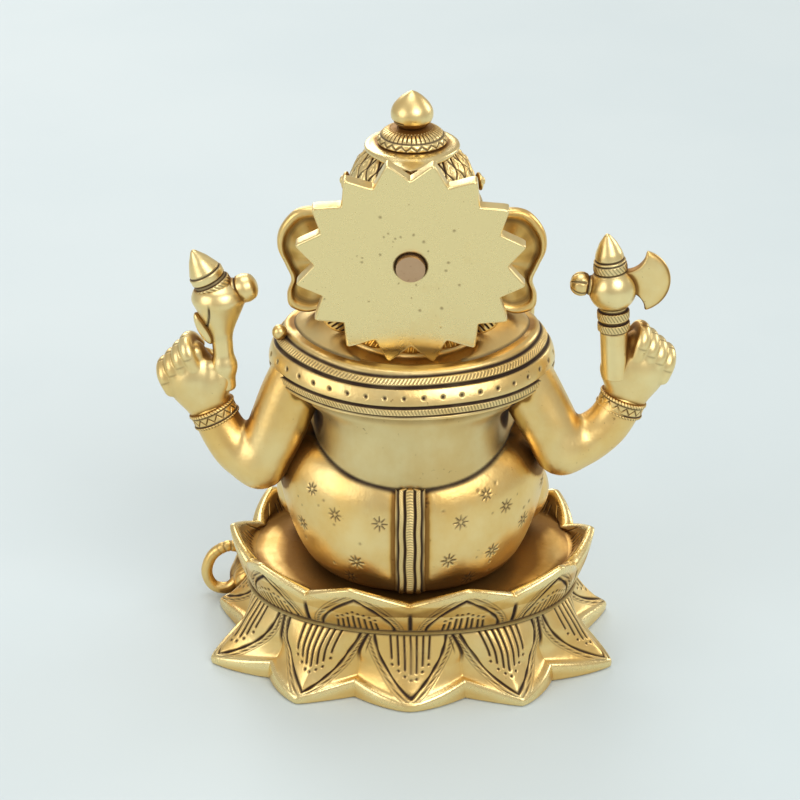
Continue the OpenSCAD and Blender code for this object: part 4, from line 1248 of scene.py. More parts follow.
def finial(size):
    """The bud on top, with one slanting cut low down."""
    z0, r, h = size.crown_top_z / MM + 7, size.finial_r / MM, size.finial_h / MM
    shape = curve([[r * 0.62, 0], [r * 0.92, h * 0.16], [r, h * 0.36], [r * 0.9, h * 0.56],
                   [r * 0.62, h * 0.76], [r * 0.28, h * 0.92], [0, h - 0.02]], 10)
    shape[:, 0] = np.maximum(shape[:, 0], 0)

    def cut(along, angle, radius, z):
        bend = np.sin(angle + 0.6) * 0.5
        return 0.3 * groove(z - 1.7 - bend, 0.55) * (np.sin(angle + 2.2) > -0.2)

    return lathe(np.vstack([[[0, 0]], shape]), 96, 72, cut).placed((0, size.crown_y / MM, z0))


# ---- halo ----

class HaloPlace:
    """Where the halo turns: its pin's middle, its lean, and its half thickness."""

    def __init__(self, size):
        self.spot = np.array([0, size.halo_y / MM, size.halo_z / MM])
        self.lean = size.halo_lean
        self.back = size.halo_t / MM / 2
        self.tip = size.halo_tip_r / MM


def into_halo(form, halo):
    """From the halo's own axes, +z along the pin to the back and +y down, to the statue's."""
    t = -math.pi / 2 - halo.lean
    turn = np.array([[1, 0, 0], [0, math.cos(t), -math.sin(t)], [0, math.sin(t), math.cos(t)]])
    form.points = form.points @ turn.T + halo.spot
    return form


def halo_star(size, halo):
    """A flat star with softly broken edges, a bore, and a shallow recess round it."""
    points, tip, notch = size.halo_points, size.halo_tip_r / MM, size.halo_notch_r / MM
    bore, recess, deep = size.pin_r / MM + 0.08, size.recess_r / MM, size.recess_depth / MM
    a = around(points * 72) + np.pi / 2
    rng = np.random.default_rng(5)
    step = np.pi / points
    t = np.abs(step - (a - np.pi / 2) % (2 * step))
    nearest = np.round((a - np.pi / 2) / (2 * step)).astype(int) % points
    low = notch - 0.5 * rng.uniform(0, 1, points)[nearest]
    edge = tip * low * math.sin(step) / (low * np.sin(step - t) + tip * np.sin(t))
    edge = np.minimum(edge, tip - 0.35)
    soft = 7
    box = np.ones(2 * soft + 1) / (2 * soft + 1)
    rounded = np.convolve(np.concatenate([edge[-soft:], edge, edge[:soft]]), box, "valid")
    edge = rounded * 0.35 + edge * 0.65
    back, r0 = halo.back, 0.9
    bend = np.linspace(0, np.pi / 2, 8)[1:]
    inner = recess + 0.25
    rows = [(bore + (edge - r0 - bore) * share, -back) for share in np.linspace(0, 1, 34)]
    rows += [(edge - r0 + r0 * math.sin(e), -back + r0 * (1 - math.cos(e))) for e in bend]
    rows += [(edge - r0 + r0 * math.sin(e), back - r0 * (1 - math.cos(e))) for e in bend[::-1]]
    rows += [(inner + (edge - r0 - inner) * share, back) for share in np.linspace(1, 0, 84)]
    rows += [(np.full(len(a), recess + 0.05), back - 0.12), (np.full(len(a), recess), back - 0.4),
             (np.full(len(a), recess), back - deep + 0.05), (np.full(len(a), bore + 0.2), back - deep)]
    grid = np.array([np.stack([r * np.cos(a), r * np.sin(a), np.full(len(a), z)], -1) for r, z in rows])
    n, cols = grid.shape[:2]
    i = np.arange(n * cols).reshape(n, cols)
    i = np.vstack([i, i[:1]])
    j = np.roll(i, -1, 1)
    quads = np.stack([i[:-1], j[:-1], j[1:], i[1:]], -1).reshape(-1, 4)
    form = Form(grid.reshape(-1, 3), quads)
    x, y, z = form.points.T
    r = np.hypot(x, y)
    flat = (z > back - 0.01) & (r > inner)
    dent = 0.1 * (np.sin(x * 0.13 + 1) * np.sin(y * 0.16 + 0.4) + 0.6 * np.sin(x * 0.3 + y * 0.22)) + 0.1
    turned = 0.05 * np.clip(np.sin(r * 5.2 + 1.5 * np.sin(np.arctan2(y, x) * 2)) * 2 - 1, 0, 1)
    turned = turned * smooth_step(22, 9, r)
    pits = np.zeros(len(r))
    for _ in range(26):
        px, py = rng.normal(0, 12), rng.normal(4, 14)
        pits = np.maximum(pits, np.clip(1.2 - np.hypot(x - px, y - py) / rng.uniform(0.25, 0.7), 0, 1))
    worn = np.clip(dent, 0, 0.25) + turned + 0.16 * pits
    form.engrave(np.where(flat, worn, 0), np.where(flat, 0.5 * pits, 0))
    # Painted shade in the recess round the pin's head.
    form.patina = np.maximum(form.patina, np.where((r < recess + 0.3) & (z > 0), 0.6, 0))
    # Painted highlight: strong on the flat back face, weaker over the rest.
    form.bright = np.where(flat, 0.85, 0.35)
    return into_halo(form, halo)


# ---- arms ----

# The rear arms: ways of [x, y, z, radius], then where each wrist is and which way its hand points.
LEFT_UPPER = [[38, 9, 112, 10.6], [42.5, 10, 103, 10.4], [48.5, 12, 88, 10], [53, 13, 78.4, 9.2]]
RIGHT_UPPER = [[-38, 9, 112, 10.6], [-42.5, 10, 104, 10.4], [-48, 12, 94, 10], [-52.5, 13, 85.2, 9.2]]
LEFT_WRIST, LEFT_REACH = (69, 8, 95.4), tuple(unit((0.42, -0.1, 0.91)))
RIGHT_WRIST, RIGHT_REACH = (-73, 7, 100), tuple(unit((-0.34, -0.08, 0.93)))


def arm(low, high, upper, fore, up):
    """An upper arm and a forearm, joined softly at the elbow."""
    clay = Clay(low, high, 0.5)
    clay.add(limb(upper, steps=10, sides=64, up=up))
    clay.add(limb(fore, steps=10, sides=64, up=up), 3.0)
    form = clay.form(2)
    form.patina *= 0.5
    return form


def rear_arm(side, upper, fore):
    near, far = sorted((side * 26, side * 84))
    return arm((near, -6, 64), (far, 28, 126), upper, fore, (0.02, 1, 0.02))


def bracelet(spot, aim, radius, height):
    """A band with a bead along each rim and a zigzag between them."""
    h = height
    profile = [[0, -h / 2], [radius - 0.7, -h / 2], [radius, -h / 2 + 0.5], [radius, -h * 0.3],
               [radius - 0.5, -h * 0.2], [radius - 0.45, h * 0.2], [radius, h * 0.3], [radius, h / 2 - 0.5],
               [radius - 0.7, h / 2], [0, h / 2]]

    def cut(along, angle, r, z):
        zig = np.abs((angle * 15 / (2 * np.pi)) % 1 - 0.5) * 2 - 0.5
        wave = groove(z - zig * h * 0.34, 0.42) * (np.abs(z) < h * 0.24) * 0.36
        line = 0.42 * np.maximum(groove(z - h * 0.25, 0.34), groove(z + h * 0.25, 0.34))
        rope = np.clip(np.cos(angle * 44 + z * 2.2) * 1.6 - 0.5, 0, 1) * (np.abs(z) > h * 0.3) * 0.2
        return np.maximum.reduce([wave, line, rope]) * (r > radius - 1.2)

    return lathe(profile, 460, 96, cut).placed(spot, aim)


def fist(spot, aim, side):
    """A closed hand: four bent fingers over the palm, a thumb across, nails and joint creases."""
    clay = Clay((-16, -14, -6), (18, 13, 32), 0.36)
    palm = [[-1.5, 0, 0, 7.3, 6.7], [4, 0.4, 0, 8, 6.8], [10, 1.2, 0, 9.5, 7.2], [15.5, 1.6, 0, 10.1, 7.5],
            [20, 0.6, -0.5, 8.6, 6.6], [23, -0.6, -1, 5.6, 4.6]]
    clay.add(stack(palm, 8, 72))
    knuckles = [[7.6, 0.2, 17.4, 5], [2, 0.2, 20.4, 5.6], [-3.4, 0.2, 23, 4.6]]
    clay.add(limb(knuckles, steps=6, sides=40, up=(0, 1, 0.01)), 1.2)
    for i in range(4):
        x, lift = 8.8 - 4 * i, 1.8 * i
        finger = [[x + 0.1, 3.9, 14.0 + lift, 2.5], [x, 3.7, 19.4 + lift, 2.75], [x, 0.6, 22.5 + lift, 2.62],
                  [x, -3.6, 22.0 + lift, 2.5], [x, -6.7, 18.2 + lift, 2.3]]
        clay.add(limb(finger, steps=8, sides=32, up=(1, 0.01, 0)), 0.42 if i else 0.7)
    thumb = [[-4.5, -2.5, 6.5, 3.5], [-6, -6.2, 11.5, 3.1], [-4.4, -8.8, 16, 2.8], [-0.8, -9.6, 19.2, 2.4]]
    clay.add(limb(thumb, steps=8, sides=32, up=(1, 0.01, 0)), 0.7)
    heel = [[-2.4, 0.6, 7.4, 4.6], [-5.8, 0.7, 9.2, 4.9], [-8.3, 0.6, 12.2, 4.7], [-9.4, 0.3, 15.5, 3.6]]
    clay.add(limb(heel, steps=8, sides=48, up=(0, 1, 0.02)), 2.4)
    form = clay.form(1)
    x, y, z = form.points.T
    crease = np.zeros(len(x))
    for i in range(4):
        at, lift = 8.8 - 4 * i, 1.8 * i
        near = np.clip(1 - np.abs(x - at) / 1.9, 0, 1) ** 0.4
        bend = groove(np.hypot(y - 0.2, z - 25.6 - lift) - 1.5, 0.42)
        crease = np.maximum(crease, near * bend * (z > 20 + lift) * 0.8)
        crease = np.maximum(crease, near * groove(z - 17.6 - lift, 0.42) * (y > 4) * 0.5)
        nail = np.hypot((x - at) / 1.45, (z - 18.4 - lift) / 1.9)
        crease = np.maximum(crease, groove((nail - 1) * 1.5, 0.38) * (y < -6.4))
    form.engrave(0.24 * crease, 0.75 * crease)
    form.patina = np.clip(form.patina * 1.15, 0, 1)
    if side > 0:
        return form.placed(spot, aim)
    form.placed((-spot[0], spot[1], spot[2]), (-aim[0], aim[1], aim[2]))
    form.points = form.points * np.array([-1, 1, 1])
    form.quads = form.quads[:, ::-1]
    form.tris = form.tris[:, ::-1]
    return form


def banded(angle, z, spots, hatched=()):
    """How deep a turned piece is cut: lines at the heights in spots, and slanting strokes in hatched bands."""
    depth = np.zeros_like(z)
    for s in spots:
        depth = np.maximum(depth, 0.45 * groove(z - s, 0.45))
    for low, high, count in hatched:
        lean = np.clip(np.cos(angle * count + (z - low) * 3.2) * 1.6 - 0.5, 0, 1)
        depth = np.maximum(depth, 0.24 * lean * ((z > low) & (z < high)))
    return depth


GOAD = (np.array([64.5, 9, 106.0]), np.array([66, 8, 140.0]))
AXE = (np.array([-70.5, 9, 112.0]), np.array([-68.5, 8, 144.0]))


def goad(stem_r, head_r):
    """Stem and flared head, a banded pointed cap leaning outwards, a knob inwards and a leaf outside."""
    foot, top = GOAD
    aim = unit(top - foot)
    clay = Clay((46, -6, 104), (84, 22, 163), 0.4)
    clay.add(lathe([[0, -1], [stem_r, -1], [stem_r, 20], [0, 20]], 64, 60).placed(foot, aim))
    bell = [[0, 0], [stem_r, 0], [stem_r + 1.6, 4], [head_r - 2, 10], [head_r - 0.2, 14], [head_r - 1.5, 17.5],
            [head_r - 5, 20], [0, 21]]
    clay.add(lathe(bell, 96, 60).placed(foot + aim * 19.6, aim), 2.0)
    clay.add(ball(tuple(foot + aim * 8), (4.6, 4.6, 5), 24, 48), 1.5)
    form = clay.form(2)
    x, y, z = form.points.T
    line = groove((x - 71.0) + (z - 128) * 0.42 - 0.02 * (z - 128) ** 2, 0.5)
    line = line * (y > 8) * smooth_step(118, 121, z) * smooth_step(141, 138, z)
    form.engrave(0.45 * line)

    def cap_cut(along, angle, r, zz):
        return banded(angle, zz, (2.6, 6.4, 7.1, 10.4), ((3.2, 5.8, 26),)) * (r > 3)

    cap = lathe([[0, 0], [6.6, 0], [6.75, 3], [6.6, 6], [6.0, 6.7], [6.1, 10], [5.5, 10.9], [3.4, 15.2],
                 [0.9, 18.8], [0, 19.3]], 150, 110, cap_cut).placed(top, (0.5, 0, 1))
    knob = lathe([[0, 0], [4.2, 0], [4.9, 8], [5.1, 10], [4.2, 12.6], [2, 13.8], [0, 13.9]], 90, 60,
                 lambda along, angle, r, zz: banded(angle, zz, (7.0,)) * (r > 2.5)).placed(top, (-1, 0, 0.35))
    leaf = ball((0, 0, 0), (2.2, 2.6, 6.5), 24, 36).placed(foot + np.array([7.0, 0.4, 22.5]), (0.45, 0.02, 1))
    return form.with_(cap, knob, leaf)


def axe(stem_r, ball_r, blade_t):
    """Ringed stem and ball, a banded cap, a crescent blade outwards and a flower knob inwards."""
    foot, top = AXE
    aim = unit(top - foot)

    def stem_cut(along, angle, r, zz):
        return banded(angle, zz, (16.6, 20.2, 24.6), ((17.2, 19.6, 30), (21.4, 23.9, 30))) * (r > 2)

    ring_r = stem_r + 0.8
    stem = lathe([[0, -1], [stem_r, -1], [stem_r, 16.4], [ring_r, 17], [ring_r, 19.8], [stem_r, 20.4],
                  [ring_r, 21.2], [ring_r, 24.2], [stem_r, 24.8], [stem_r, 28], [0, 28]], 170, 190, stem_cut)
    stem.placed(foot, aim)
    orb = ball(tuple(top), ball_r, 60, 96)
    # Painted highlight on the ball.
    orb.bright += 0.4

    def cap_cut(along, angle, r, zz):
        return banded(angle, zz, (6.6, 9.9, 11.2), ((7.2, 9.4, 26),)) * (r > 2.4)

    cap = lathe([[0, 0], [5.6, 0], [5.9, 8], [5.6, 10.4], [5.1, 11.2], [4.6, 13.5], [3.0, 17], [0.8, 20],
                 [0, 20.4]], 150, 120, cap_cut).placed(top, (0.12, 0, 1))

    def petal_cut(along, angle, r, zz):
        lobes = 0.4 * np.clip(np.cos(angle * 6) * 2 - 1.2, 0, 1) * (zz > 9)
        return np.maximum(0.45 * groove(zz - 8.4, 0.5), lobes) * (r > 1)

    knob = lathe([[0, 0], [3.4, 0], [3.5, 8], [4.3, 10.6], [3.9, 12.6], [2.4, 14.2], [0, 14.7]], 120, 70,
                 petal_cut).placed(top, (1, 0, 0.15))
    clay = Clay((top[0] - 22, top[1] - 5, top[2] - 11), (top[0] + 2, top[1] + 5, top[2] + 17), 0.34)
    cx, cz = top[0], top[2] + 3
    clay.add(slab(cx - 8.2, cz, 12.1, top[1], blade_t))
    for dz in (-10.5, 10.5):
        clay.cut(rod(cx - 4.4, cz + dz, 6.7, top[1], 20), 0.5)
    clay.cut(block((cx + 0.5, top[1] - 6, cz - 14), (cx + 8, top[1] + 6, cz + 14)))
    blade = clay.form(2)
    return stem.with_(orb, cap, knob, blade)


def block(low, high):
    (a, b, c), (d, e, f) = low, high
    points = [(a, b, c), (d, b, c), (d, e, c), (a, e, c), (a, b, f), (d, b, f), (d, e, f), (a, e, f)]
    quads = [(0, 3, 2, 1), (4, 5, 6, 7), (0, 1, 5, 4), (1, 2, 6, 5), (2, 3, 7, 6), (3, 0, 4, 7)]
    return Form(points, quads)


def slab(x, z, radius, y, thick):
    """A lens along y, thinnest at its rim."""
    profile = [[0, -thick / 2], [radius * 0.55, -thick / 2], [radius * 0.9, -thick * 0.3], [radius, 0],
               [radius * 0.9, thick * 0.3], [radius * 0.55, thick / 2], [0, thick / 2]]
    return lathe(profile, 96, 50).placed((x, y, z), (0, 1, 0))


def rod(x, z, radius, y, length):
    end = length / 2
    profile = [[0, -end], [radius, -end], [radius, end], [0, end]]
    return lathe(profile, 72, 40).placed((x, y, z), (0, 1, 0))


def front_arm(side, upper, fore):
    near, far = sorted((side * 22, side * 56))
    return arm((near, -44, 76), (far, 4, 124), upper, fore, (1, 0.02, 0.02))


def giving_hand():
    """The left front hand, palm up, with the fingers curled round a sweet."""
    clay = Clay((18, -51.6, 79), (48, -23, 100), 0.34)
    clay.add(limb([[40, -30, 87, 6.2], [36, -37, 87.5, 6.5], [32.5, -42, 87.5, 6.4], [29.5, -44.6, 88, 4.6]],
                  steps=8, sides=48, up=(1, 0.02, 0.02), flat=0.8))
    for i in range(4):
        way = [[26 + 3 * i, -42.5 - 0.7 * i, 87.6, 2.3], [24 + 3.4 * i, -46.2 - 0.8 * i, 89.6, 2.1],
               [24.2 + 3.4 * i, -47.2 - 0.7 * i, 92.4, 2.0], [24.7 + 3.4 * i, -47.0 - 0.6 * i, 94.6, 1.75]]
        clay.add(limb(way, steps=6, sides=28, up=(1, 0.02, 0.02)), 0.5)
    thumb = [[38.5, -37.5, 89.5, 2.5], [38.6, -40.6, 93, 2.2], [37.5, -42.4, 96.4, 1.85]]
    clay.add(limb(thumb, steps=8, sides=28, up=(1, 0, 0.1)), 0.6)
    return clay.form(1)


def sweet(radius):
    """A pleated dumpling, pinched at the top."""
    r = radius

    def cut(along, angle, rr, z):
        pleats = 0.42 * np.clip(np.cos(angle * 12 + z * 0.35) * 1.4 - 0.35, 0, 1)
        return pleats * smooth_step(-r * 0.5, -r * 0.1, z) * (rr > 0.5)

    side = curve([[r * 0.8, -r * 0.7], [r, -r * 0.25], [r * 0.88, r * 0.25], [r * 0.45, r * 0.68],
                  [r * 0.12, r * 0.96]], 8)
    profile = np.vstack([[[0, -r * 0.7]], side, [[0, r * 0.98]]])
    return lathe(profile, 160, 80, cut).placed((30, -42, 91.5 + r * 0.7))


def blessing_hand():
    """The right front hand, raised with its palm forward."""
    clay = Clay((-47, -47, 93), (-20, -28, 129), 0.34)
    hand = [[-37.5, -33.5, 94.5, 6.0], [-36.6, -35.5, 102, 7.4], [-35.8, -37, 108.5, 7.9],
            [-35.6, -37.5, 112, 6.6]]
    clay.add(limb(hand, steps=8, sides=48, up=(0.02, 1, 0.02), flat=0.55))
    for i in range(4):
        tall = 2.4 if i in (1, 2) else 0.3
        way = [[-41.2 + 3.9 * i, -37, 110, 2.3], [-41.4 + 4 * i, -37.9, 116 + tall * 0.6, 2.2],
               [-41.5 + 4.05 * i, -38.6, 121.6 + tall, 1.95]]
        clay.add(limb(way, steps=8, sides=28), 0.45)
    thumb = [[-30.5, -35.5, 102.5, 2.9], [-27.2, -37, 107.6, 2.5], [-26.2, -38, 112.2, 2.1]]
    clay.add(limb(thumb, steps=8, sides=28), 1.0)
    form = clay.form(1)
    x, y, z = form.points.T
    palm = np.hypot(x + 36, z - 106)
    spokes = np.clip(np.cos(np.arctan2(z - 106, x + 36) * 8) * 3 - 2, 0, 1) * (palm < 3.8) * (palm > 1.2)
    wheel = np.maximum(groove(palm - 4.2, 0.5), spokes)
    joint = np.maximum(groove(z - 115.2, 0.4), groove(z - 119.2, 0.4))
    form.engrave(0.3 * np.maximum(wheel * (y < -38.5), joint * (y < -39.2) * 0.8))
    return form


# ---- mouse ----

def mouse():
    """The mouse, crouching beside the base with its nose to the front."""
    clay = Clay((46, -52, 0.02), (70, -20, 21), 0.4)
    body = [[61, -27.5, 7.6, 6.6], [59.5, -34, 9, 8.5], [58, -40, 8.8, 7.6], [57, -45, 8.8, 5.2],
            [56.5, -48.6, 8.2, 2.9]]
    clay.add(limb(body, steps=10, sides=64, up=(1, 0.02, 0.02)))
    for side in (-1, 1):
        clay.add(ball((58 + side * 4.6, -42.3, 15), (2.8, 1.5, 2.9), 24, 40), 0.5)
        clay.cut(ball((58 + side * 4.7, -44.2, 15.1), (1.6, 1.0, 1.7), 20, 32), 0.3)
        clay.add(ball((57.4 + side * 3.4, -46.2, 10.8), 1.0, 16, 24), 0.15)
        paw = [[58 + side * 5, -42, 4.5, 2.4], [57.5 + side * 4.6, -46, 2.4, 1.9],
               [57.3 + side * 4.2, -48.4, 2.0, 1.5]]
        clay.add(limb(paw, steps=6, sides=28), 0.7)
        clay.add(ball((60.5 + side * 6.0, -33, 5.6), (3.0, 5.4, 5.2), 24, 40), 1.2)
    form = clay.form(1)
    x, y, z = form.points.T
    fur = np.clip(np.sin(y * 3.4 + np.sin(z * 1.7 + x) * 1.2) * 1.5 - 0.8, 0, 1)
    fur = fur * (y > -40) * smooth_step(9, 12, z)
    nose = groove(np.hypot(x - 56.4, z - 8.6) - 1.2, 0.4) * (y < -50)
    form.engrave(0.16 * fur + 0.25 * nose)
    return form


def mouse_tail(radius):
    """The tail, from the rump down to the floor and round in a loop."""
    r = radius
    way = [[64, -29, 9, r + 0.4], [69, -28, 3.4, r + 0.2], [75, -28, 4, r], [77.5, -28, 10, r],
           [75, -28.5, 17, r], [69, -29, 20.5, r], [63, -30.5, 18, r], [60.5, -31.8, 14.2, r * 0.9]]
    grid = limb_grid(way, steps=24, sides=72, up=(0.02, 1, 0.02))
    grid[..., 2] = np.maximum(grid[..., 2], 0.02)
    form = skin(grid)
    run = distance_along(grid.mean(1))[:, None]
    ring = groove((run % 2.2) - 1.1, 0.4) * smooth_step(30, 38, run) + np.zeros(grid.shape[:2])
    return form.engrave(tail(0.2 * ring))


# ---- what a user may change ----

def size_of(name, text, value, low=0.0):
    return bpy.props.FloatProperty(name=name, description=text, default=value, min=low,
                                   unit="LENGTH", precision=5)


def colour_of(name, text, value):
    return bpy.props.FloatVectorProperty(name=name, description=text, default=value, size=3,
                                         subtype="COLOR", min=0, max=1)


class StatuetteSizes(bpy.types.PropertyGroup):
    lower_reach_x: size_of("Lower petals, side reach", "Reach of the lower petal tips to each side", 0.075)
    lower_reach_y: size_of("Lower petals, depth reach", "Reach of the lower petal tips to front and back",
                           0.052)
    upper_reach_x: size_of("Upper petals, side reach", "Reach of the upper petal tips to each side", 0.0655)
    upper_reach_y: size_of("Upper petals, depth reach", "Reach of the upper petal tips to front and back",
                           0.048)
    waist_x: size_of("Waist, half width", "Half width of the seam between the tiers", 0.058)
    waist_y: size_of("Waist, half depth", "Half depth of the seam between the tiers", 0.041)
    seam_z: size_of("Seam height", "Height of the seam between the tiers", 0.026)
    deck_z: size_of("Seat height", "Height of the seat that the figure rests on", 0.038)
    upper_tip_z: size_of("Upper tip height", "Height of the upper petal tips", 0.046)
    base_wall: size_of("Base wall", "Wall thickness of the lower tier", 0.005)
    halo_tip_r: size_of("Halo tips", "Reach of the halo's points", 0.0395)
    halo_notch_r: size_of("Halo notches", "Reach of the notches between the points", 0.0325)
    halo_points: bpy.props.IntProperty(name="Halo points", description="Number of points on the halo",
                                       default=16, min=8)
    halo_t: size_of("Halo thickness", "Thickness of the halo", 0.005)
    halo_y: size_of("Halo setback", "Distance of the pin behind the middle", 0.024)
    halo_z: size_of("Halo height", "Height of the pin", 0.16)
    halo_lean: bpy.props.FloatProperty(name="Halo lean", description="Lean of the halo, top towards the back",
                                       default=math.radians(8), unit="ROTATION")
    pin_r: size_of("Pin radius", "Radius of the halo's pin", 0.004)
    recess_r: size_of("Recess radius", "Radius of the recess round the pin's head", 0.0055)
    recess_depth: size_of("Recess depth", "Depth of the recess round the pin's head", 0.0016)
    crown_y: size_of("Crown setback", "Centre line of the crown, front to back", -0.002, -0.1)
    crown_z: size_of("Crown height", "Height of the crown's lower edge", 0.168)
    crown_r: size_of("Crown radius", "Radius of the crown's band", 0.024)
    crown_top_z: size_of("Crown shoulder", "Height of the shoulder under the collar", 0.192)
    collar_r: size_of("Collar radius", "Radius of the collar", 0.012)
    finial_h: size_of("Finial height", "Height of the finial above the collar", 0.0125)
    finial_r: size_of("Finial radius", "Radius of the finial", 0.0072)
    shawl_t: size_of("Shawl thickness", "Thickness of the shawl", 0.003)
    pleat_w: size_of("Pleat width", "Width of the pleat down the back", 0.0105)
    ear_t: size_of("Ear thickness", "Thickness of the ears at the rim", 0.0045)
    bracelet_r: size_of("Bracelet radius", "Radius of the rear bracelets", 0.0086)
    bracelet_h: size_of("Bracelet height", "Height of the rear bracelets", 0.006)
    sweet_r: size_of("Sweet radius", "Radius of the sweet", 0.006)
    tail_r: size_of("Tail radius", "Thickness of the mouse's tail", 0.0021)
    goad_stem_r: size_of("Goad stem", "Radius of the goad's stem", 0.0036)
    goad_head_r: size_of("Goad head", "Radius of the goad's flared head", 0.01)
    axe_stem_r: size_of("Axe stem", "Radius of the axe's stem", 0.0048)
    axe_ball_r: size_of("Axe ball", "Radius of the ball on the axe", 0.0083)
    axe_blade_t: size_of("Axe blade", "Thickness of the axe's blade", 0.004)


class StatuetteFinish(bpy.types.PropertyGroup):
    pale: colour_of("Rubbed brass", "Colour where the brass is rubbed bright", (0.9, 0.73, 0.36))
    # This colour is an orange tone of the brass and also painted shade in the broad hollows.
    warm_tone_and_shade: colour_of("Warm brass", "Colour in the broad hollows", (0.8, 0.5, 0.14))
    # Painted shade with brown patina where parts meet, and specks of grime.
    brown: colour_of("Brown patina", "Colour of the dirt where parts meet", (0.2, 0.085, 0.018))
    black: colour_of("Black patina", "Colour left in the cuts", (0.035, 0.016, 0.008))
    roughness: bpy.props.FloatProperty(name="Roughness", description="Roughness of the polished brass",
                                       default=0.3, min=0, max=1, subtype="FACTOR")


# ---- the operators, one for each piece or group of like pieces ----

SIDES = ((1, "left"), (-1, "right"))


class Builder:
    """What the operators share: each builds its pieces from the statuette's sizes."""
    bl_options = {"REGISTER"}

    def execute(self, context):
        self.build(context.scene.statuette_sizes)
        return {"FINISHED"}


class STATUETTE_OT_lotus(Builder, bpy.types.Operator):
    """The two tiers of lotus petals"""
    bl_idname = "statuette.lotus"
    bl_label = "Lotus Base"

    def build(self, size):
        piece("lower_petals", lower_tier(size), "cast_brass", ["lower_lotus"], shade_and_patina=0.8)
        piece("upper_petals", upper_tier(size), "cast_brass", ["upper_lotus"], shade_and_patina=0.8)


class STATUETTE_OT_cloth(Builder, bpy.types.Operator):
    """The hips in their punched cloth, and the pleat down the back"""
    bl_idname = "statuette.cloth"
    bl_label = "Hips and Pleat"

    def build(self, size):
        piece("hips_cloth", hips(), "cast_brass", ["lower_body"])
        piece("pleat_strips", pleat(size.pleat_w / MM), "engraved_brass", ["back_pleat"], shade_and_patina=0.6)


class STATUETTE_OT_legs(Builder, bpy.types.Operator):
    """The two folded legs, with anklets and bare feet"""
    bl_idname = "statuette.legs"
    bl_label = "Legs"

    def build(self, size):
        for side, name in SIDES:
            piece(f"folded_leg_{name}", leg(side), "cast_brass", [f"{name}_leg"])


class STATUETTE_OT_torso(Builder, bpy.types.Operator):
    """The back, chest and belly, with the bead strings and the thread"""
    bl_idname = "statuette.torso"
    bl_label = "Torso"

    def build(self, size):
        body, clay = torso(HaloPlace(size))
        piece("back_and_belly", body, "polished_brass", ["torso"], shade_and_patina=0.3)
        piece("bead_strings", necklace(clay), "polished_brass")


class STATUETTE_OT_shawl(Builder, bpy.types.Operator):
    """The banded shawl over both shoulders, and its rolled ends"""
    bl_idname = "statuette.shawl"
    bl_label = "Shawl"

    def build(self, size):
        piece("shawl_bands", shawl(size.shawl_t / MM), "engraved_brass", ["shawl"], shade_and_patina=0.7)
        piece("shawl_ends", shoulder_knots(), "engraved_brass")


class STATUETTE_OT_head(Builder, bpy.types.Operator):
    """The head, trunk and tusks"""
    bl_idname = "statuette.head"
    bl_label = "Head, Trunk and Tusks"

    def build(self, size):
        piece("head_form", head(), "cast_brass", ["head"])
        piece("trunk_folds", trunk(), "cast_brass", ["trunk"])
        piece("tusk_left", tusk(1, 0.25), "polished_brass", ["left_tusk"])
        piece("tusk_right", tusk(-1, 1), "polished_brass", ["right_tusk"])


class STATUETTE_OT_ears(Builder, bpy.types.Operator):
    """The two ears"""
    bl_idname = "statuette.ears"
    bl_label = "Ears"

    def build(self, size):
        for side, name in SIDES:
            piece(f"ear_{name}", ear(side, size.ear_t / MM), "cast_brass", [f"{name}_ear"])


class STATUETTE_OT_crown(Builder, bpy.types.Operator):
    """The leafy crown, its collar and its finial"""
    bl_idname = "statuette.crown"
    bl_label = "Crown"

    def build(self, size):
        piece("crown_leaves", crown(size), "engraved_brass", ["crown"])
        piece("collar_rays", collar(size), "engraved_brass", ["crown_collar"])
        piece("finial_bud", finial(size), "polished_brass", ["crown_finial"])


class STATUETTE_OT_hair(Builder, bpy.types.Operator):
    """The locks of hair under the halo"""
    bl_idname = "statuette.hair"
    bl_label = "Nape Hair"

    def build(self, size):
        piece("nape_locks", nape_hair(HaloPlace(size)), "engraved_brass", ["nape_hair"])


class STATUETTE_OT_halo(Builder, bpy.types.Operator):
    """The star-edged halo, which turns on its pin"""
    bl_idname = "statuette.halo"
    bl_label = "Halo"

    def build(self, size):
        piece("halo_star", halo_star(size, HaloPlace(size)), "polished_brass", ["halo_disc"], body="halo",
              shade_and_patina=0.25)


class STATUETTE_OT_rear_arms(Builder, bpy.types.Operator):
    """The two rear arms, their bracelets and closed hands"""
    bl_idname = "statuette.rear_arms"
    bl_label = "Rear Arms and Fists"

    def build(self, size):
        left = [[52.8, 12.8, 78.9, 8.9], [60, 11.5, 82, 8.5], [65.5, 9.5, 88.5, 8], [*LEFT_WRIST, 7.7]]
        right = [[-52.3, 13, 85.4, 9.2], [-60, 11, 87, 8.6], [-68, 9, 92.5, 8], [*RIGHT_WRIST, 7.7]]
        arms = ((1, "left", LEFT_UPPER, left, LEFT_WRIST, LEFT_REACH),
                (-1, "right", RIGHT_UPPER, right, RIGHT_WRIST, RIGHT_REACH))
        r, h = size.bracelet_r / MM, size.bracelet_h / MM
        for side, name, upper, fore, wrist, reach in arms:
            piece(f"rear_{name}_arm", rear_arm(side, upper, fore), "cast_brass", [f"rear_arm_{name}"])
            piece(f"rear_{name}_bangle", bracelet(wrist, reach, r, h), "engraved_brass",
                  [f"rear_bracelet_{name}"])
            piece(f"fist_{name}", fist(wrist, reach, side), "polished_brass", [f"rear_hand_{name}"])


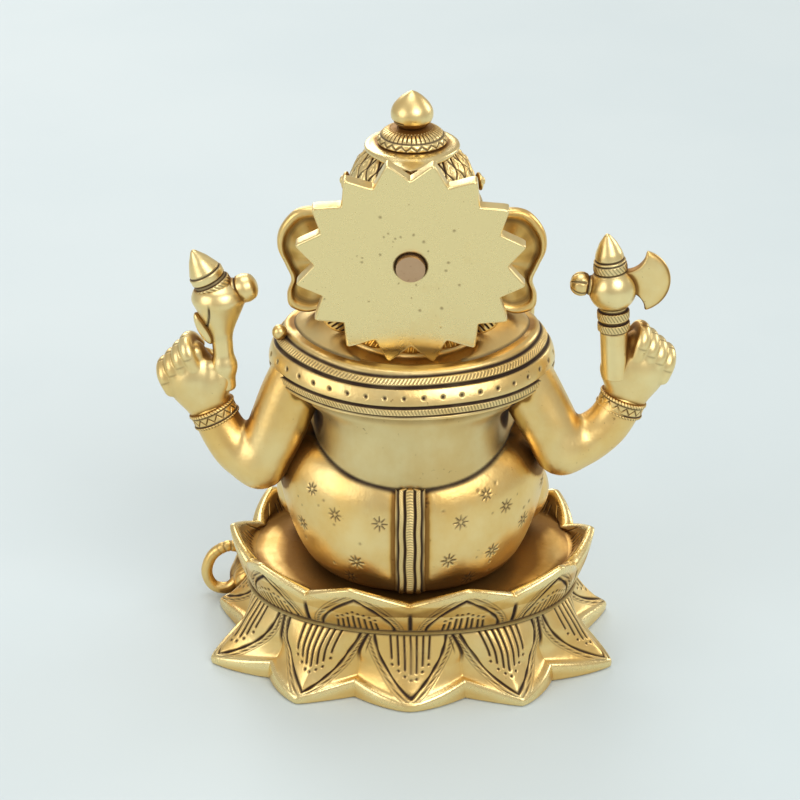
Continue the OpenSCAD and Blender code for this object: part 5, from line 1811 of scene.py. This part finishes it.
class STATUETTE_OT_held(Builder, bpy.types.Operator):
    """The goad and the axe that the rear hands hold"""
    bl_idname = "statuette.held"
    bl_label = "Goad and Axe"

    def build(self, size):
        goad_form = goad(size.goad_stem_r / MM, size.goad_head_r / MM)
        axe_form = axe(size.axe_stem_r / MM, size.axe_ball_r / MM, size.axe_blade_t / MM)
        piece("goad_form", goad_form, "polished_brass", ["goad"])
        piece("axe_form", axe_form, "polished_brass", ["axe"])


class STATUETTE_OT_front_arms(Builder, bpy.types.Operator):
    """The two front arms, their bracelets, the open hands and the sweet"""
    bl_idname = "statuette.front_arms"
    bl_label = "Front Arms and Hands"

    def build(self, size):
        left, right = (40, -30, 87), (-37.5, -33.5, 95)
        arms = (
            (1, "left", [[35, -8, 111, 9.5], [39, -12, 103, 9.2], [43, -16, 90, 8.6]],
             [[43, -16, 89, 8.4], [42.5, -23, 87.5, 7.6], [*left, 6.9]], left, (-0.5, -0.86, 0.05)),
            (-1, "right", [[-35, -8, 111, 9.5], [-39, -12, 103, 9.2], [-42, -19, 89, 8.6]],
             [[-42, -19, 88, 8.4], [-39.5, -28, 88, 7.6], [*right, 6.9]], right, (0.05, -0.3, 1)),
        )
        r, h = size.bracelet_r / MM - 1, size.bracelet_h / MM - 1
        for side, name, upper, fore, wrist, reach in arms:
            piece(f"front_{name}_arm", front_arm(side, upper, fore), "cast_brass", [f"front_arm_{name}"])
            piece(f"front_{name}_bangle", bracelet(wrist, reach, r, h), "engraved_brass",
                  [f"front_bracelet_{name}"])
        piece("giving_hand", giving_hand(), "polished_brass", ["front_hand_left"])
        piece("blessing_hand", blessing_hand(), "polished_brass", ["front_hand_right"])
        piece("pleated_sweet", sweet(size.sweet_r / MM), "polished_brass", ["sweet"])


class STATUETTE_OT_mouse(Builder, bpy.types.Operator):
    """The mouse beside the base, and its looped tail"""
    bl_idname = "statuette.mouse"
    bl_label = "Mouse"

    def build(self, size):
        piece("mouse_body", mouse(), "cast_brass", ["mouse"])
        piece("tail_loop", mouse_tail(size.tail_r / MM), "cast_brass", ["mouse_tail"])


class STATUETTE_OT_metalwork(Builder, bpy.types.Operator):
    """The pin, spacer, bolt and washer, kept as they are with their edges broken"""
    bl_idname = "statuette.metalwork"
    bl_label = "Pin, Spacer, Bolt and Washer"

    def build(self, size):
        for node, slot in (("halo_pin", "rivet_brass"), ("halo_spacer", "cast_brass"),
                           ("base_bolt", "fastener_steel"), ("base_washer", "fastener_steel")):
            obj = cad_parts[node]
            obj.data.materials.clear()
            obj.data.materials.append(finish(slot))
            edge = obj.modifiers.new("broken_edges", "BEVEL")
            edge.width, edge.segments, edge.limit_method = 0.00035, 2, "ANGLE"


FLOOR_HALF = 3.0
# Each lamp: name, place, width across and power.
LAMPS = (
    ("key", (-0.75, 1.25, 1.35), 1.3, 15),
    ("fill", (1.4, 0.9, 0.8), 1.3, 8),
    ("top", (0.1, -0.2, 1.8), 1.1, 8),
    ("front", (0.5, -1.6, 0.9), 1.0, 8),
    ("front_side", (-1.4, -0.7, 0.7), 0.8, 5),
)
LAMP_AIM = (0, 0, 0.1)
ROOM_COLOUR, ROOM_STRENGTH = (0.96, 0.92, 0.84, 1), 0.55
CAMERA_SPOT, CAMERA_AIM = (-0.0149, 0.8537, 0.5264), (0, 0, 0.11)
SENSOR_WIDTH, FOCAL_LENGTH, CAMERA_SHIFT = 36, 122.3, (-0.015, -0.0425)


def aim_at(obj, spot, target):
    """Puts a lamp or the camera at spot, looking at target."""
    obj.location = spot
    obj.rotation_euler = (Vector(target) - Vector(spot)).to_track_quat("-Z", "Y").to_euler()


class STATUETTE_OT_stage(Builder, bpy.types.Operator):
    """The pale floor, the soft lights and the camera"""
    bl_idname = "statuette.stage"
    bl_label = "Stage"

    def build(self, size):
        mesh = bpy.data.meshes.new("floor")
        corners = [(x * FLOOR_HALF, y * FLOOR_HALF, 0) for x, y in ((-1, -1), (1, -1), (1, 1), (-1, 1))]
        mesh.from_pydata(corners, [], [(0, 1, 2, 3)])
        mesh.materials.append(floor_finish())
        new_object("floor", mesh)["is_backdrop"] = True
        for name, spot, across, power in LAMPS:
            lamp = bpy.data.lights.new(name, "AREA")
            lamp.shape, lamp.size, lamp.energy = "DISK", across, power
            aim_at(new_object(name, lamp), spot, LAMP_AIM)
        world = bpy.data.worlds.new("soft_room")
        world.use_nodes = True
        background = world.node_tree.nodes["Background"]
        background.inputs["Color"].default_value = ROOM_COLOUR
        background.inputs["Strength"].default_value = ROOM_STRENGTH
        bpy.context.scene.world = world
        lens = bpy.data.cameras.new("camera")
        lens.sensor_width, lens.lens = SENSOR_WIDTH, FOCAL_LENGTH
        lens.shift_x, lens.shift_y = CAMERA_SHIFT
        lens.clip_start = 0.01
        camera = new_object("camera", lens)
        aim_at(camera, CAMERA_SPOT, CAMERA_AIM)
        bpy.context.scene.camera = camera
        bpy.context.scene.view_settings.view_transform = "Standard"


OPERATORS = [
    STATUETTE_OT_lotus, STATUETTE_OT_cloth, STATUETTE_OT_legs, STATUETTE_OT_torso, STATUETTE_OT_shawl,
    STATUETTE_OT_head, STATUETTE_OT_ears, STATUETTE_OT_crown, STATUETTE_OT_hair, STATUETTE_OT_halo,
    STATUETTE_OT_rear_arms, STATUETTE_OT_held, STATUETTE_OT_front_arms, STATUETTE_OT_mouse,
    STATUETTE_OT_metalwork, STATUETTE_OT_stage,
]


class STATUETTE_PT_panel(bpy.types.Panel):
    """The statuette's operators"""
    bl_idname = "STATUETTE_PT_panel"
    bl_label = "Statuette"
    bl_space_type = "VIEW_3D"
    bl_region_type = "UI"
    bl_category = "Statuette"

    def draw(self, context):
        for operator in OPERATORS:
            self.layout.operator(operator.bl_idname)


CLASSES = [StatuetteSizes, StatuetteFinish] + OPERATORS + [STATUETTE_PT_panel]


def register():
    for cls in CLASSES:
        bpy.utils.register_class(cls)
    bpy.types.Scene.statuette_sizes = bpy.props.PointerProperty(type=StatuetteSizes)
    bpy.types.Scene.statuette_finish = bpy.props.PointerProperty(type=StatuetteFinish)


def unregister():
    del bpy.types.Scene.statuette_finish
    del bpy.types.Scene.statuette_sizes
    for cls in reversed(CLASSES):
        bpy.utils.unregister_class(cls)


def main():
    register()
    for operator in OPERATORS:
        group, name = operator.bl_idname.split(".")
        getattr(getattr(bpy.ops, group), name)()


if __name__ == "__main__":
    main()
